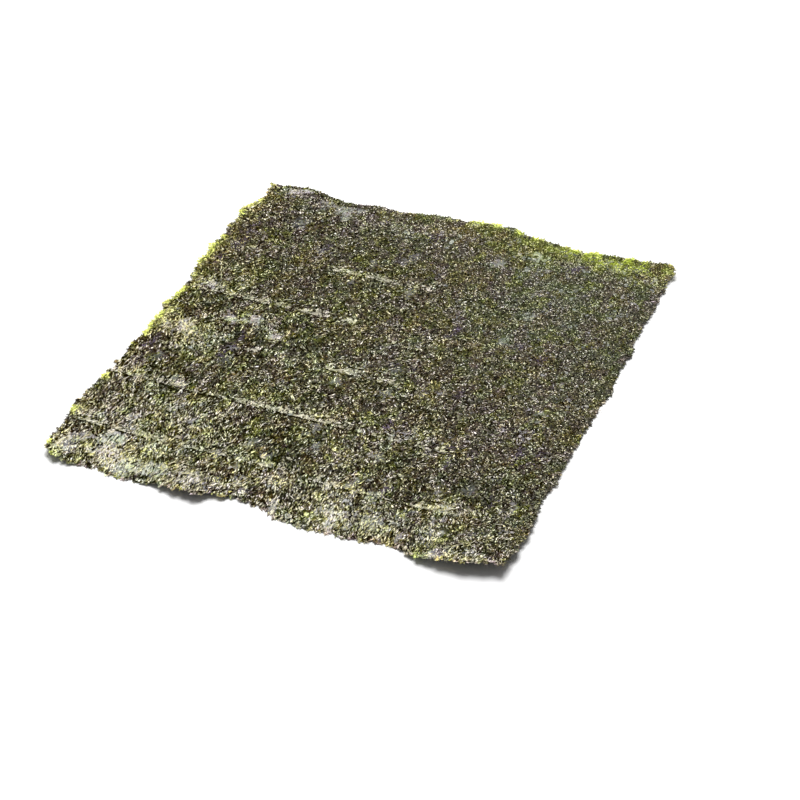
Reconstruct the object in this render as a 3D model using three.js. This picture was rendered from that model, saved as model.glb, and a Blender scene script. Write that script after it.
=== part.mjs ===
// A sheet of roasted nori: one thin, stiff mat of pressed seaweed shreds, lying on a table.
// Units are millimetres and +Z is up. X runs along the front edge and Y from the front edge to the
// back one. The sheet touches the table in a few flat places, and its edges lift in low waves.
import * as THREE from 'three';

// The sheet
const SHEET_WIDTH = 190;          // left edge to right edge
const SHEET_DEPTH = 210;          // front edge to back edge
const MAT_THICKNESS = 0.42;       // over the shreds, away from the edges
const RIM_THICKNESS = 0.26;       // at the edges, where the mat thins out
const RIM_WIDTH = 3.4;            // the thinner band round the mat

// The outline: how far each edge leaves the straight line, outwards
const CORNER_PULL = 1.6;          // a corner is worn back by this much both ways
const CORNER_REACH = 5;
const FRONT_TABS = [
  { height: 1.6, at: -26, reach: 6, sharpness: 2 },
  { height: -2.2, at: -5, reach: 9, sharpness: 4 },
  { height: 1.2, at: 14, reach: 6, sharpness: 2 },
  { height: 1.5, at: 70, reach: 14, sharpness: 4 },
];
const RIGHT_TABS = [
  { height: 2.2, at: 41, reach: 6, sharpness: 2 },
  { height: 0.9, at: 12, reach: 12, sharpness: 4 },
  { height: -1.4, at: -59, reach: 6, sharpness: 2 },
];
const BACK_TABS = [
  { height: 1.5, at: -76, reach: 9, sharpness: 2 },
  { height: 1.9, at: -42, reach: 6, sharpness: 4 },
  { height: 1.7, at: 21, reach: 6, sharpness: 2 },
  { height: 1.2, at: 66, reach: 6, sharpness: 2 },
];
const LEFT_TABS = [
  { height: 2.1, at: 78, reach: 5, sharpness: 2 },
  { height: 2.0, at: 43, reach: 13, sharpness: 4 },
  { height: 1.5, at: 5, reach: 7, sharpness: 2 },
  { height: 1.0, at: -65, reach: 13, sharpness: 4 },
];
const TOOTH_PITCH = 1.9;          // ragged teeth of shred ends
const TOOTH_DEPTH = 0.7;
const SCALLOP_PITCH = 7.5;        // shallow scallops between groups of teeth
const SCALLOP_DEPTH = 0.5;

// The waves, as the height of the underside over the table
const BACK_WAVE = { height: 5.2, crest: 8, pitch: 106, reach: 52 };
const FRONT_WAVE = { height: 4.2, at: -27, width: 17, reach: 34 };
const FRONT_RIGHT_LIFT = { height: 6, width: 38, reach: 36 };
const FRONT_LEFT_LIFT = { height: 3.4, width: 22, reach: 24 };
const LEFT_LIFT = { height: 1.6, at: 62, width: 30, reach: 12 };
const COCKLES = [
  { height: 0.42, alongX: 58, alongY: 83, phase: 0.6 },
  { height: 0.3, alongX: -41, alongY: 47, phase: 2.1 },
  { height: 0.2, alongX: 27, alongY: -36, phase: 4.4 },
];
const LEVEL_DROP = 0.5;           // lifts smaller than this lie flat on the table
const LEVEL_BLEND = 0.8;          // how softly a lift leaves the table

// The press lines: straight creases that the drying mat's ribs leave, parallel to the front edge
const LINE_COUNT = 6;
const LINE_PITCH = 33.0;
const LINES_MIDDLE = 2.0;         // where the middle of the six lines lies along Y
const CREASE_DEPTH = 0.15;
const CREASE_HALF_WIDTH = 0.9;
const LIP_HEIGHT = 0.12;          // a raised lip behind each crease
const LIP_OFFSET = 1.3;
const LIP_END = 2.8;

// The mesh
const COLUMNS = 34;               // grid steps across the sheet
const ROWS_BETWEEN_LINES = 4;     // grid rows between two press lines
const RIM_STEP = 1.75;            // spacing of the outline's points

const HALF_WIDTH = SHEET_WIDTH / 2;
const HALF_DEPTH = SHEET_DEPTH / 2;

// A repeatable value between -1 and 1 for each whole number.
function scatter(n) {
  const raw = Math.sin(n * 12.9898 + 4.137) * 43758.5453;
  return 2 * (raw - Math.floor(raw)) - 1;
}

// Smooth irregular line through one scattered value for each pitch.
function irregular(distance, pitch, seed) {
  const place = distance / pitch;
  const cell = Math.floor(place);
  const part = place - cell;
  const blend = part * part * (3 - 2 * part);
  const before = scatter(cell + seed);
  const after = scatter(cell + 1 + seed);
  return before + (after - before) * blend;
}

// A hump of the given height, round when sharpness is 2 and flat-topped above that.
function hump(place, { height, at, reach, sharpness }) {
  return height * Math.exp(-Math.pow(Math.abs(place - at) / reach, sharpness));
}

// How far an edge stands outside its straight line, before the teeth.
function edgeOffset(place, halfLength, tabs) {
  const pull = CORNER_PULL * Math.exp((Math.abs(place) - halfLength) / CORNER_REACH);
  return tabs.reduce((sum, tab) => sum + hump(place, tab), -pull);
}

// The plan: a point of the straight-edged rectangle moves with the edges, fully at an edge and
// not at all at the middle.
function plan(x0, y0) {
  const toRight = Math.pow(Math.max(0, x0) / HALF_WIDTH, 3);
  const toLeft = Math.pow(Math.max(0, -x0) / HALF_WIDTH, 3);
  const toBack = Math.pow(Math.max(0, y0) / HALF_DEPTH, 3);
  const toFront = Math.pow(Math.max(0, -y0) / HALF_DEPTH, 3);
  const x = x0 + toRight * edgeOffset(y0, HALF_DEPTH, RIGHT_TABS)
    - toLeft * edgeOffset(y0, HALF_DEPTH, LEFT_TABS);
  const y = y0 + toBack * edgeOffset(x0, HALF_WIDTH, BACK_TABS)
    - toFront * edgeOffset(x0, HALF_WIDTH, FRONT_TABS);
  return { x, y };
}

function bell(distance, width) {
  return Math.exp(-(distance * distance) / (width * width));
}

function backWave(x, y) {
  const phase = (2 * Math.PI * (x - BACK_WAVE.crest)) / BACK_WAVE.pitch;
  const swell = 0.5 + 0.5 * Math.cos(phase);
  return BACK_WAVE.height * swell * Math.exp((y - HALF_DEPTH) / BACK_WAVE.reach);
}

function frontLifts(x, y) {
  const fromFront = y + HALF_DEPTH;
  const wave = FRONT_WAVE.height * bell(x - FRONT_WAVE.at, FRONT_WAVE.width);
  const right = FRONT_RIGHT_LIFT.height * bell(x - HALF_WIDTH, FRONT_RIGHT_LIFT.width);
  const left = FRONT_LEFT_LIFT.height * bell(x + HALF_WIDTH, FRONT_LEFT_LIFT.width);
  return wave * Math.exp(-fromFront / FRONT_WAVE.reach)
    + right * Math.exp(-fromFront / FRONT_RIGHT_LIFT.reach)
    + left * Math.exp(-fromFront / FRONT_LEFT_LIFT.reach);
}

function leftLift(x, y) {
  const fromLeft = x + HALF_WIDTH;
  return LEFT_LIFT.height * bell(y - LEFT_LIFT.at, LEFT_LIFT.width)
    * Math.exp(-fromLeft / LEFT_LIFT.reach);
}

function cockles(x, y) {
  let sum = 0;
  for (const { height, alongX, alongY, phase } of COCKLES) {
    sum += height * Math.sin(2 * Math.PI * (x / alongX + y / alongY) + phase);
  }
  return sum;
}

// Height of the underside over the table. A lift v above the level leaves the table softly, as
// v * v / (v + blend), and what is below the level lies flat.
function underside(x, y) {
  const lift = backWave(x, y) + frontLifts(x, y) + leftLift(x, y) + cockles(x, y) - LEVEL_DROP;
  return lift > 0 ? (lift * lift) / (lift + LEVEL_BLEND) : 0;
}

// Where the press lines cross Y, front to back.
function pressLines() {
  const middle = (LINE_COUNT - 1) / 2;
  return Array.from({ length: LINE_COUNT }, (_, line) => LINES_MIDDLE + (line - middle) * LINE_PITCH);
}

// What the nearest press line takes from or adds to the mat's thickness: a V-shaped crease with a
// ridge behind it.
function pressRelief(y0) {
  for (const line of pressLines()) {
    const behind = y0 - line;
    if (Math.abs(behind) < CREASE_HALF_WIDTH) {
      return -CREASE_DEPTH * (1 - Math.abs(behind) / CREASE_HALF_WIDTH);
    }
    if (behind >= CREASE_HALF_WIDTH && behind < LIP_END) {
      return LIP_HEIGHT * (1 - Math.abs(behind - LIP_OFFSET) / (LIP_END - LIP_OFFSET));
    }
  }
  return 0;
}

// The grid's rows: close to each press line they follow its section, and between two lines they
// are evenly spaced.
function rowPlaces(first, last) {
  const rows = [];
  const addEvenRows = (from, to) => {
    for (let i = 0; i <= ROWS_BETWEEN_LINES; i += 1) {
      rows.push(from + ((to - from) * i) / (ROWS_BETWEEN_LINES + 1));
    }
  };
  let from = first;
  for (const line of pressLines()) {
    addEvenRows(from, line - CREASE_HALF_WIDTH);
    rows.push(line - CREASE_HALF_WIDTH, line, line + LIP_OFFSET);
    from = line + LIP_END;
  }
  addEvenRows(from, last);
  rows.push(last);
  return rows;
}

function columnPlaces(first, last) {
  const step = (last - first) / COLUMNS;
  return Array.from({ length: COLUMNS + 1 }, (_, i) => first + i * step);
}

// Collects points as pairs: the same plan point on the underside and on the top.
class Mat {
  constructor() {
    this.positions = [];
    this.faces = [];
  }

  addPoint(x, y, thickness) {
    const z = underside(x, y);
    this.positions.push(x, y, z, x, y, z + thickness);
    return this.positions.length / 6 - 1;
  }

  // One triangle of the plan, counter-clockwise from above, becomes one on each surface.
  addTriangle(a, b, c) {
    this.faces.push(2 * a + 1, 2 * b + 1, 2 * c + 1);
    this.faces.push(2 * a, 2 * c, 2 * b);
  }

  // The wall under one step of the outline, which runs counter-clockwise.
  addWall(a, b) {
    this.faces.push(2 * a, 2 * b, 2 * b + 1);
    this.faces.push(2 * a, 2 * b + 1, 2 * a + 1);
  }
}

// The field inside the rim, as a grid whose diagonals alternate.
function addField(mat, columns, rows) {
  const grid = rows.map((y0) => columns.map((x0) => {
    const { x, y } = plan(x0, y0);
    return mat.addPoint(x, y, MAT_THICKNESS + pressRelief(y0));
  }));
  for (let j = 0; j + 1 < rows.length; j += 1) {
    for (let i = 0; i + 1 < columns.length; i += 1) {
      const [a, b, c, d] = [grid[j][i], grid[j][i + 1], grid[j + 1][i + 1], grid[j + 1][i]];
      if ((i + j) % 2 === 0) {
        mat.addTriangle(a, b, c);
        mat.addTriangle(a, c, d);
      } else {
        mat.addTriangle(a, b, d);
        mat.addTriangle(b, c, d);
      }
    }
  }
  return grid;
}

// The field's border, counter-clockwise from the front left corner. Each point has its place in
// the round: the side's number plus the part of that side that lies behind it.
function fieldBorder(grid, columns, rows) {
  const lastColumn = columns.length - 1;
  const lastRow = rows.length - 1;
  const part = (places, i) => (places[i] - places[0]) / (places.at(-1) - places[0]);
  const border = [];
  for (let i = 0; i < lastColumn; i += 1) {
    border.push({ point: grid[0][i], place: part(columns, i) });
  }
  for (let j = 0; j < lastRow; j += 1) {
    border.push({ point: grid[j][lastColumn], place: 1 + part(rows, j) });
  }
  for (let i = lastColumn; i > 0; i -= 1) {
    border.push({ point: grid[lastRow][i], place: 3 - part(columns, i) });
  }
  for (let j = lastRow; j > 0; j -= 1) {
    border.push({ point: grid[j][0], place: 4 - part(rows, j) });
  }
  return border;
}

// The ragged outline, counter-clockwise from the front left corner, with the same places.
function addOutline(mat) {
  const sides = [
    { length: SHEET_WIDTH, at: (t) => [t, -HALF_DEPTH], out: [0, -1] },
    { length: SHEET_DEPTH, at: (t) => [HALF_WIDTH, t], out: [1, 0] },
    { length: SHEET_WIDTH, at: (t) => [-t, HALF_DEPTH], out: [0, 1] },
    { length: SHEET_DEPTH, at: (t) => [-HALF_WIDTH, -t], out: [-1, 0] },
  ];
  const outline = [];
  let travelled = 0;
  sides.forEach(({ length, at, out }, side) => {
    const steps = Math.round(length / RIM_STEP);
    for (let i = 0; i < steps; i += 1) {
      const along = (length * i) / steps;
      const { x, y } = plan(...at(along - length / 2));
      const ragged = TOOTH_DEPTH * irregular(travelled + along, TOOTH_PITCH, side)
        + SCALLOP_DEPTH * irregular(travelled + along, SCALLOP_PITCH, 57 + side);
      const point = mat.addPoint(x + out[0] * ragged, y + out[1] * ragged, RIM_THICKNESS);
      outline.push({ point, place: side + i / steps });
    }
    travelled += length;
  });
  return outline;
}

// The rim: a band of triangles between the outline and the field's border. It walks round both
// and always steps on the one that is behind.
function addRim(mat, outline, border) {
  let o = 0;
  let b = 0;
  const at = (ring, i) => ring[i % ring.length].point;
  const next = (ring, i) => (i + 1 < ring.length ? ring[i + 1].place : 4);
  while (o < outline.length || b < border.length) {
    const stepOutline = b >= border.length
      || (o < outline.length && next(outline, o) <= next(border, b));
    if (stepOutline) {
      mat.addTriangle(at(outline, o), at(outline, o + 1), at(border, b));
      o += 1;
    } else {
      mat.addTriangle(at(outline, o), at(border, b + 1), at(border, b));
      b += 1;
    }
  }
  outline.forEach(({ point }, i) => mat.addWall(point, at(outline, i + 1)));
}

function sheetGeometry() {
  const mat = new Mat();
  const columns = columnPlaces(-HALF_WIDTH + RIM_WIDTH, HALF_WIDTH - RIM_WIDTH);
  const rows = rowPlaces(-HALF_DEPTH + RIM_WIDTH, HALF_DEPTH - RIM_WIDTH);
  const grid = addField(mat, columns, rows);
  addRim(mat, addOutline(mat), fieldBorder(grid, columns, rows));
  const geometry = new THREE.BufferGeometry();
  geometry.setAttribute('position', new THREE.Float32BufferAttribute(mat.positions, 3));
  geometry.setIndex(mat.faces);
  geometry.computeVertexNormals();
  return geometry;
}

const nori = new THREE.MeshStandardMaterial({ color: 0x5c5a43, roughness: 0.62, metalness: 0 });

const sheet = new THREE.Mesh(sheetGeometry(), nori);
sheet.name = 'nori_sheet';

const part = new THREE.Group();
part.name = 'roasted_nori_sheet';
part.add(sheet);

export default part;
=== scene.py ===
"""Dresses a sheet of roasted nori: the pressed mat, the seaweed shreds that lie on it and fringe
its edges, the pale flakes of painted glint along its press lines and the dark shreds of painted
shade in their creases, and the stage it is shown on.

The shape functions work in millimetres and the meshes are made in metres. X runs along the front
edge, Y from the front edge to the back one, and Z up from the table. (x0, y0) is a place on the
straight-edged rectangle from which the sheet's plan is worked out.
"""

import itertools
import math

import bpy
import numpy as np
from bpy.props import (EnumProperty, FloatProperty, FloatVectorProperty, IntProperty,
                       PointerProperty)
from mathutils import Matrix, Vector


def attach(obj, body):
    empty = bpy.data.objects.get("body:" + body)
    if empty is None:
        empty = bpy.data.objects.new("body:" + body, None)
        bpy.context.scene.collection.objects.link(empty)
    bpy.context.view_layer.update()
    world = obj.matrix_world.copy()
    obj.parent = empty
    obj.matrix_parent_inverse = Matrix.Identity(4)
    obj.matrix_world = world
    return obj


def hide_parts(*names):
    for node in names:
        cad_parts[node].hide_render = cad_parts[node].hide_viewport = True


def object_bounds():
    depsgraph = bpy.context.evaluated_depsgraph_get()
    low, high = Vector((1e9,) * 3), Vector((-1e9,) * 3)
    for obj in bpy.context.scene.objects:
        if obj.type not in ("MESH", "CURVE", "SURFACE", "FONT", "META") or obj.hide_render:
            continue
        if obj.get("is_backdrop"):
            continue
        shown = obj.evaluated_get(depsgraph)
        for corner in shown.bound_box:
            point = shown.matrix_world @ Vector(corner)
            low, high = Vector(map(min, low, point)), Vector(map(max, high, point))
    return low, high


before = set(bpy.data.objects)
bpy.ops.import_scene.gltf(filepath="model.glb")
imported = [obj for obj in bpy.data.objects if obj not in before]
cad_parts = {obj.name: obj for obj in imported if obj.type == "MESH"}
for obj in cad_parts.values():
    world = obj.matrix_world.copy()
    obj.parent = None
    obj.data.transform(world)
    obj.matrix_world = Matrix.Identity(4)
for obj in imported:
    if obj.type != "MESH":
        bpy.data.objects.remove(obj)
CAD_BOX = [list(corner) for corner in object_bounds()]

bl_info = {
    "name": "Roasted nori sheet",
    "version": (1, 0, 0),
    "blender": (4, 5, 0),
    "location": "View3D > Sidebar > Nori",
    "description": "Builds a sheet of roasted nori from its mat, shreds, fringe and press lines",
    "category": "Add Mesh",
}

MM = 0.001
NODE = "nori_sheet"
BODY = "root"

# The sheet and its outline, in millimetres, as the solid has them.
SHEET_WIDTH = 190.0
SHEET_DEPTH = 210.0
HALF_WIDTH = SHEET_WIDTH / 2
HALF_DEPTH = SHEET_DEPTH / 2
MAT_THICKNESS = 0.36
RIM_THICKNESS = 0.2
RIM_WIDTH = 3.4
CORNER_PULL = 1.6
CORNER_REACH = 5.0
# Tabs that stand out of an edge or into it: height, place along X or Y, reach and sharpness.
FRONT_TABS = ((1.6, -26, 6, 2), (-2.2, -5, 9, 4), (1.2, 14, 6, 2), (1.5, 70, 14, 4))
RIGHT_TABS = ((2.2, 41, 6, 2), (0.9, 12, 12, 4), (-1.4, -59, 6, 2))
BACK_TABS = ((1.5, -76, 9, 2), (1.9, -42, 6, 4), (1.7, 21, 6, 2), (1.2, 66, 6, 2))
LEFT_TABS = ((2.1, 78, 5, 2), (2.0, 43, 13, 4), (1.5, 5, 7, 2), (1.0, -65, 13, 4))

# The torn rim, for the front, right, back and left edges. Nicks stand in or out: height, distance
# from the edge's left or front end, reach and sharpness.
NICKS = (
    ((-1.6, 1, 7, 4), (-1.4, 25, 4, 2), (1.3, 35, 5, 2), (0.6, 63, 8, 4), (-3.6, 78.5, 6.5, 6),
     (-2.0, 90, 6, 4), (-0.9, 105, 5, 2), (0.7, 120, 14, 4), (-1.4, 147, 8, 2), (1.2, 169, 12, 4),
     (-0.8, 186, 4, 2)),
    ((1.6, 207, 4, 4), (0.6, 22, 5, 2), (-0.6, 46, 7, 2), (-0.7, 88, 6, 2), (0.5, 118, 6, 2),
     (-0.6, 150, 8, 2), (0.5, 181, 7, 2)),
    ((-1.2, 6, 10, 4), (-0.5, 20, 22, 4), (0.8, 68, 17, 4), (-1.2, 95, 5, 2), (0.8, 130, 7, 2),
     (-0.6, 148, 5, 2), (2.2, 175, 9, 4), (1.5, 187, 4, 4)),
    ((-2.6, 2, 6, 4), (-1.5, 14, 10, 4), (-1.2, 53, 6, 2), (-1.2, 89, 7, 4), (-0.8, 117, 11, 4),
     (-0.8, 141, 6, 2), (0.8, 168, 8, 4), (-1.9, 198, 9, 4), (-0.4, 105, 120, 8)))
# The heights of the shred ends, how far apart they are, and the height and size of the scallops.
TOOTH_HEIGHTS = (0.9, 0.5, 0.6, 0.9)
TOOTH_PITCH = 1.2
SCALLOPS = ((0.5, 2.6), (0.4, 7.5))
# How far in from the edge the torn rim moves the sheet.
TOOTH_DEPTH = 5.0

# The share of the upper relief that is left at the rim, and how far the lower one is lowered.
RIM_RELIEF = 0.2
LOWER_DROP = 0.06

# The waves of the underside: heights, places and reaches, as the solid has them.
BACK_WAVE = {"height": 5.2, "crest": 8, "pitch": 106, "reach": 52}
FRONT_LIFTS = ((4.2, -27, 17, 34), (6.0, HALF_WIDTH, 38, 36), (3.4, -HALF_WIDTH, 22, 24))
LEFT_LIFT = {"height": 1.6, "at": 62, "width": 30, "reach": 12}
COCKLES = ((0.42, 58, 83, 0.6), (0.3, -41, 47, 2.1), (0.2, 27, -36, 4.4))
LEVEL_DROP = 0.5
LEVEL_BLEND = 0.8

# The press lines, numbered from the front, and the section of one: a V-shaped crease with a lip
# behind it, as (distance behind the line, height).
LINE_COUNT = 6
LINE_PITCH = 33.0
LINES_MIDDLE = 2.0
MIDDLE_LINE = (LINE_COUNT - 1) / 2
CREASE_SECTION = ((-0.9, 0.0), (0.0, -0.15), (1.3, 0.12), (2.8, 0.0))


# --- Shape: how the sheet lies, as functions of arrays ---

def scattered(cell_x, cell_y, seed):
    """A number from -1 to 1 for each cell of a grid, with no order to it: the fraction of a large
    multiple of a sine."""
    raw = np.sin(cell_x * 127.1 + cell_y * 311.7 + seed * 74.7) * 43758.5453
    return 2 * (raw - np.floor(raw)) - 1


def lattice_noise(x, y, cell_x, cell_y, seed):
    """Smooth noise from -1 to 1: a scattered value at each corner of a grid of cells, blended
    across each cell by 3t^2 - 2t^3 both ways."""
    gx, gy = x / cell_x, y / cell_y
    ix, iy = np.floor(gx), np.floor(gy)
    fx, fy = gx - ix, gy - iy
    fx, fy = fx * fx * (3 - 2 * fx), fy * fy * (3 - 2 * fy)
    front = scattered(ix, iy, seed) * (1 - fx) + scattered(ix + 1, iy, seed) * fx
    back = scattered(ix, iy + 1, seed) * (1 - fx) + scattered(ix + 1, iy + 1, seed) * fx
    return front * (1 - fy) + back * fy


def patch_of(x, y, size_x, size_y, seed):
    """Which patch of a ragged patchwork each place is in: each cell of a grid holds one scattered
    point, places wander by noise, and a place belongs to the cell whose point is nearest."""
    gx = x / size_x + 0.3 * lattice_noise(x, y, 0.35 * size_x, 0.35 * size_y, seed + 3)
    gy = y / size_y + 0.3 * lattice_noise(x, y, 0.35 * size_x, 0.35 * size_y, seed + 4)
    ix, iy = np.floor(gx), np.floor(gy)
    nearest = np.full_like(gx, np.inf)
    patch_x, patch_y = ix, iy
    for step_x, step_y in itertools.product((-1, 0, 1), repeat=2):
        cell_x, cell_y = ix + step_x, iy + step_y
        off_x = cell_x + 0.5 + 0.45 * scattered(cell_x, cell_y, seed) - gx
        off_y = cell_y + 0.5 + 0.45 * scattered(cell_x, cell_y, seed + 1) - gy
        distance = off_x ** 2 + off_y ** 2
        nearer = distance < nearest
        nearest = np.where(nearer, distance, nearest)
        patch_x = np.where(nearer, cell_x, patch_x)
        patch_y = np.where(nearer, cell_y, patch_y)
    return patch_x, patch_y


def humps(place, start, entries):
    """Adds humps along an edge to a start value, each height * exp(-|d / reach| ** sharpness)."""
    total = start
    for height, at, reach, sharpness in entries:
        total = total + height * np.exp(-np.abs((place - at) / reach) ** sharpness)
    return total


def edge_offset(place, half_length, tabs):
    """How far an edge stands outside its straight line: its tabs, less a corner pull that dies
    away exponentially from the corner."""
    pull = -CORNER_PULL * np.exp((np.abs(place) - half_length) / CORNER_REACH)
    return humps(place, pull, tabs)


def plan(x0, y0):
    """Moves a point of the rectangle with the edges: by the cube of how near it is to each edge,
    so fully at the edge and not at all in the middle."""
    across, along = x0 / HALF_WIDTH, y0 / HALF_DEPTH
    right, left, back, front = (
        np.maximum(0, share) ** 3 for share in (across, -across, along, -along))
    x = x0 + right * edge_offset(y0, HALF_DEPTH, RIGHT_TABS)
    x = x - left * edge_offset(y0, HALF_DEPTH, LEFT_TABS)
    y = y0 + back * edge_offset(x0, HALF_WIDTH, BACK_TABS)
    y = y - front * edge_offset(x0, HALF_WIDTH, FRONT_TABS)
    return x, y


def underside(x, y):
    """Height of the underside over the table: a cosine wave along the back edge, bell-shaped lifts
    along the front and left edges, all dying away inwards, and three slanted sine cockles. A lift v
    over the level leaves the table as v^2 / (v + blend), and what is under it lies flat."""
    swell = 0.5 + 0.5 * np.cos(2 * np.pi * (x - BACK_WAVE["crest"]) / BACK_WAVE["pitch"])
    lift = BACK_WAVE["height"] * swell * np.exp((y - HALF_DEPTH) / BACK_WAVE["reach"])
    for height, at, width, reach in FRONT_LIFTS:
        lift = lift + height * np.exp(-((x - at) / width) ** 2 - (y + HALF_DEPTH) / reach)
    left = LEFT_LIFT
    lift = lift + left["height"] * np.exp(
        -((y - left["at"]) / left["width"]) ** 2 - (x + HALF_WIDTH) / left["reach"])
    for height, along_x, along_y, phase in COCKLES:
        lift = lift + height * np.sin(2 * np.pi * (x / along_x + y / along_y) + phase)
    lift = np.maximum(0, lift - LEVEL_DROP)
    return lift * lift / (lift + LEVEL_BLEND)


def crackle(x0, y0):
    """Crinkles of the whole mat, 5 to 17 mm across, that lift both of its surfaces."""
    wide = lattice_noise(x0, y0, 14, 17, 1)
    narrow = lattice_noise(x0 + 3, y0, 5, 6.5, 2)
    return 0.1 + 0.07 * wide + 0.03 * narrow


def line_number(y0):
    """The number of the nearest press line. A place just past half way is still the front one's."""
    number = np.round((y0 - LINES_MIDDLE) / LINE_PITCH + MIDDLE_LINE - 0.02)
    return np.clip(number, 0, LINE_COUNT - 1)


def line_place(number):
    """Where along Y a press line runs: evenly spaced about the middle."""
    return LINES_MIDDLE + LINE_PITCH * (number - MIDDLE_LINE)


def nearest_line(y0):
    """Where the nearest press line runs."""
    return line_place(line_number(y0))


def press_relief(y0):
    """The section of the nearest press line, straight between its corners."""
    places, heights = zip(*CREASE_SECTION)
    return np.interp(y0 - nearest_line(y0), places, heights)


def clumps(x0, y0):
    """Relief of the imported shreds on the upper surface: clumps of two sizes, longer along Y."""
    coarse = lattice_noise(x0, y0, 2.6, 4.2, 3)
    fine = lattice_noise(x0, y0, 1.2, 2.1, 4)
    return 0.06 * coarse + 0.04 * fine


def edge_distance(x0, y0):
    """How far a place is from the nearest side of the rectangle."""
    return np.minimum(HALF_WIDTH - np.abs(x0), HALF_DEPTH - np.abs(y0))


def upper_relief(x0, y0):
    """What lies between the underside and the upper surface: the mat's thickness, which falls
    towards the rim, the crackle, and the press lines and clumps, which fade towards the rim."""
    inside = edge_distance(x0, y0)
    body = np.interp(inside, (0, RIM_WIDTH), (RIM_THICKNESS, MAT_THICKNESS))
    full = np.interp(inside, (0, RIM_WIDTH), (RIM_RELIEF, 1.0))
    return body + crackle(x0, y0) + full * (press_relief(y0) + clumps(x0, y0))


def lower_relief(x0, y0):
    """What lies between the underside and the lower surface: the crackle, lowered so that its
    hollows lie flat."""
    return np.maximum(0, crackle(x0, y0) - LOWER_DROP)


def ragged(distance, side):
    """How far the outline's teeth stand out: shred ends about a millimetre apart, by a row of noise
    for each side, on the edge's nicks and scallops of two sizes."""
    line = np.zeros_like(distance) + side * 7.3
    out = humps(distance, 0, NICKS[side])
    out = out + TOOTH_HEIGHTS[side] * lattice_noise(distance, line, TOOTH_PITCH, 1, 11)
    for seed, (height, size) in enumerate(SCALLOPS, 12):
        out = out + height * lattice_noise(distance, line, size, 1, seed)
    return out


def laid(x0, y0):
    """Where a point of the rectangle lies: its plan, and near each edge moved out with the
    outline's teeth, which die away evenly over TOOTH_DEPTH."""
    x, y = plan(x0, y0)
    front, right, back, left = (
        np.clip(1 - inside / TOOTH_DEPTH, 0, 1)
        for inside in (HALF_DEPTH + y0, HALF_WIDTH - x0, HALF_DEPTH - y0, HALF_WIDTH + x0))
    x = x + right * ragged(y0 + HALF_DEPTH, 1) - left * ragged(y0 + HALF_DEPTH, 3)
    y = y + back * ragged(x0 + HALF_WIDTH, 2) - front * ragged(x0 + HALF_WIDTH, 0)
    return x, y
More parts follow.
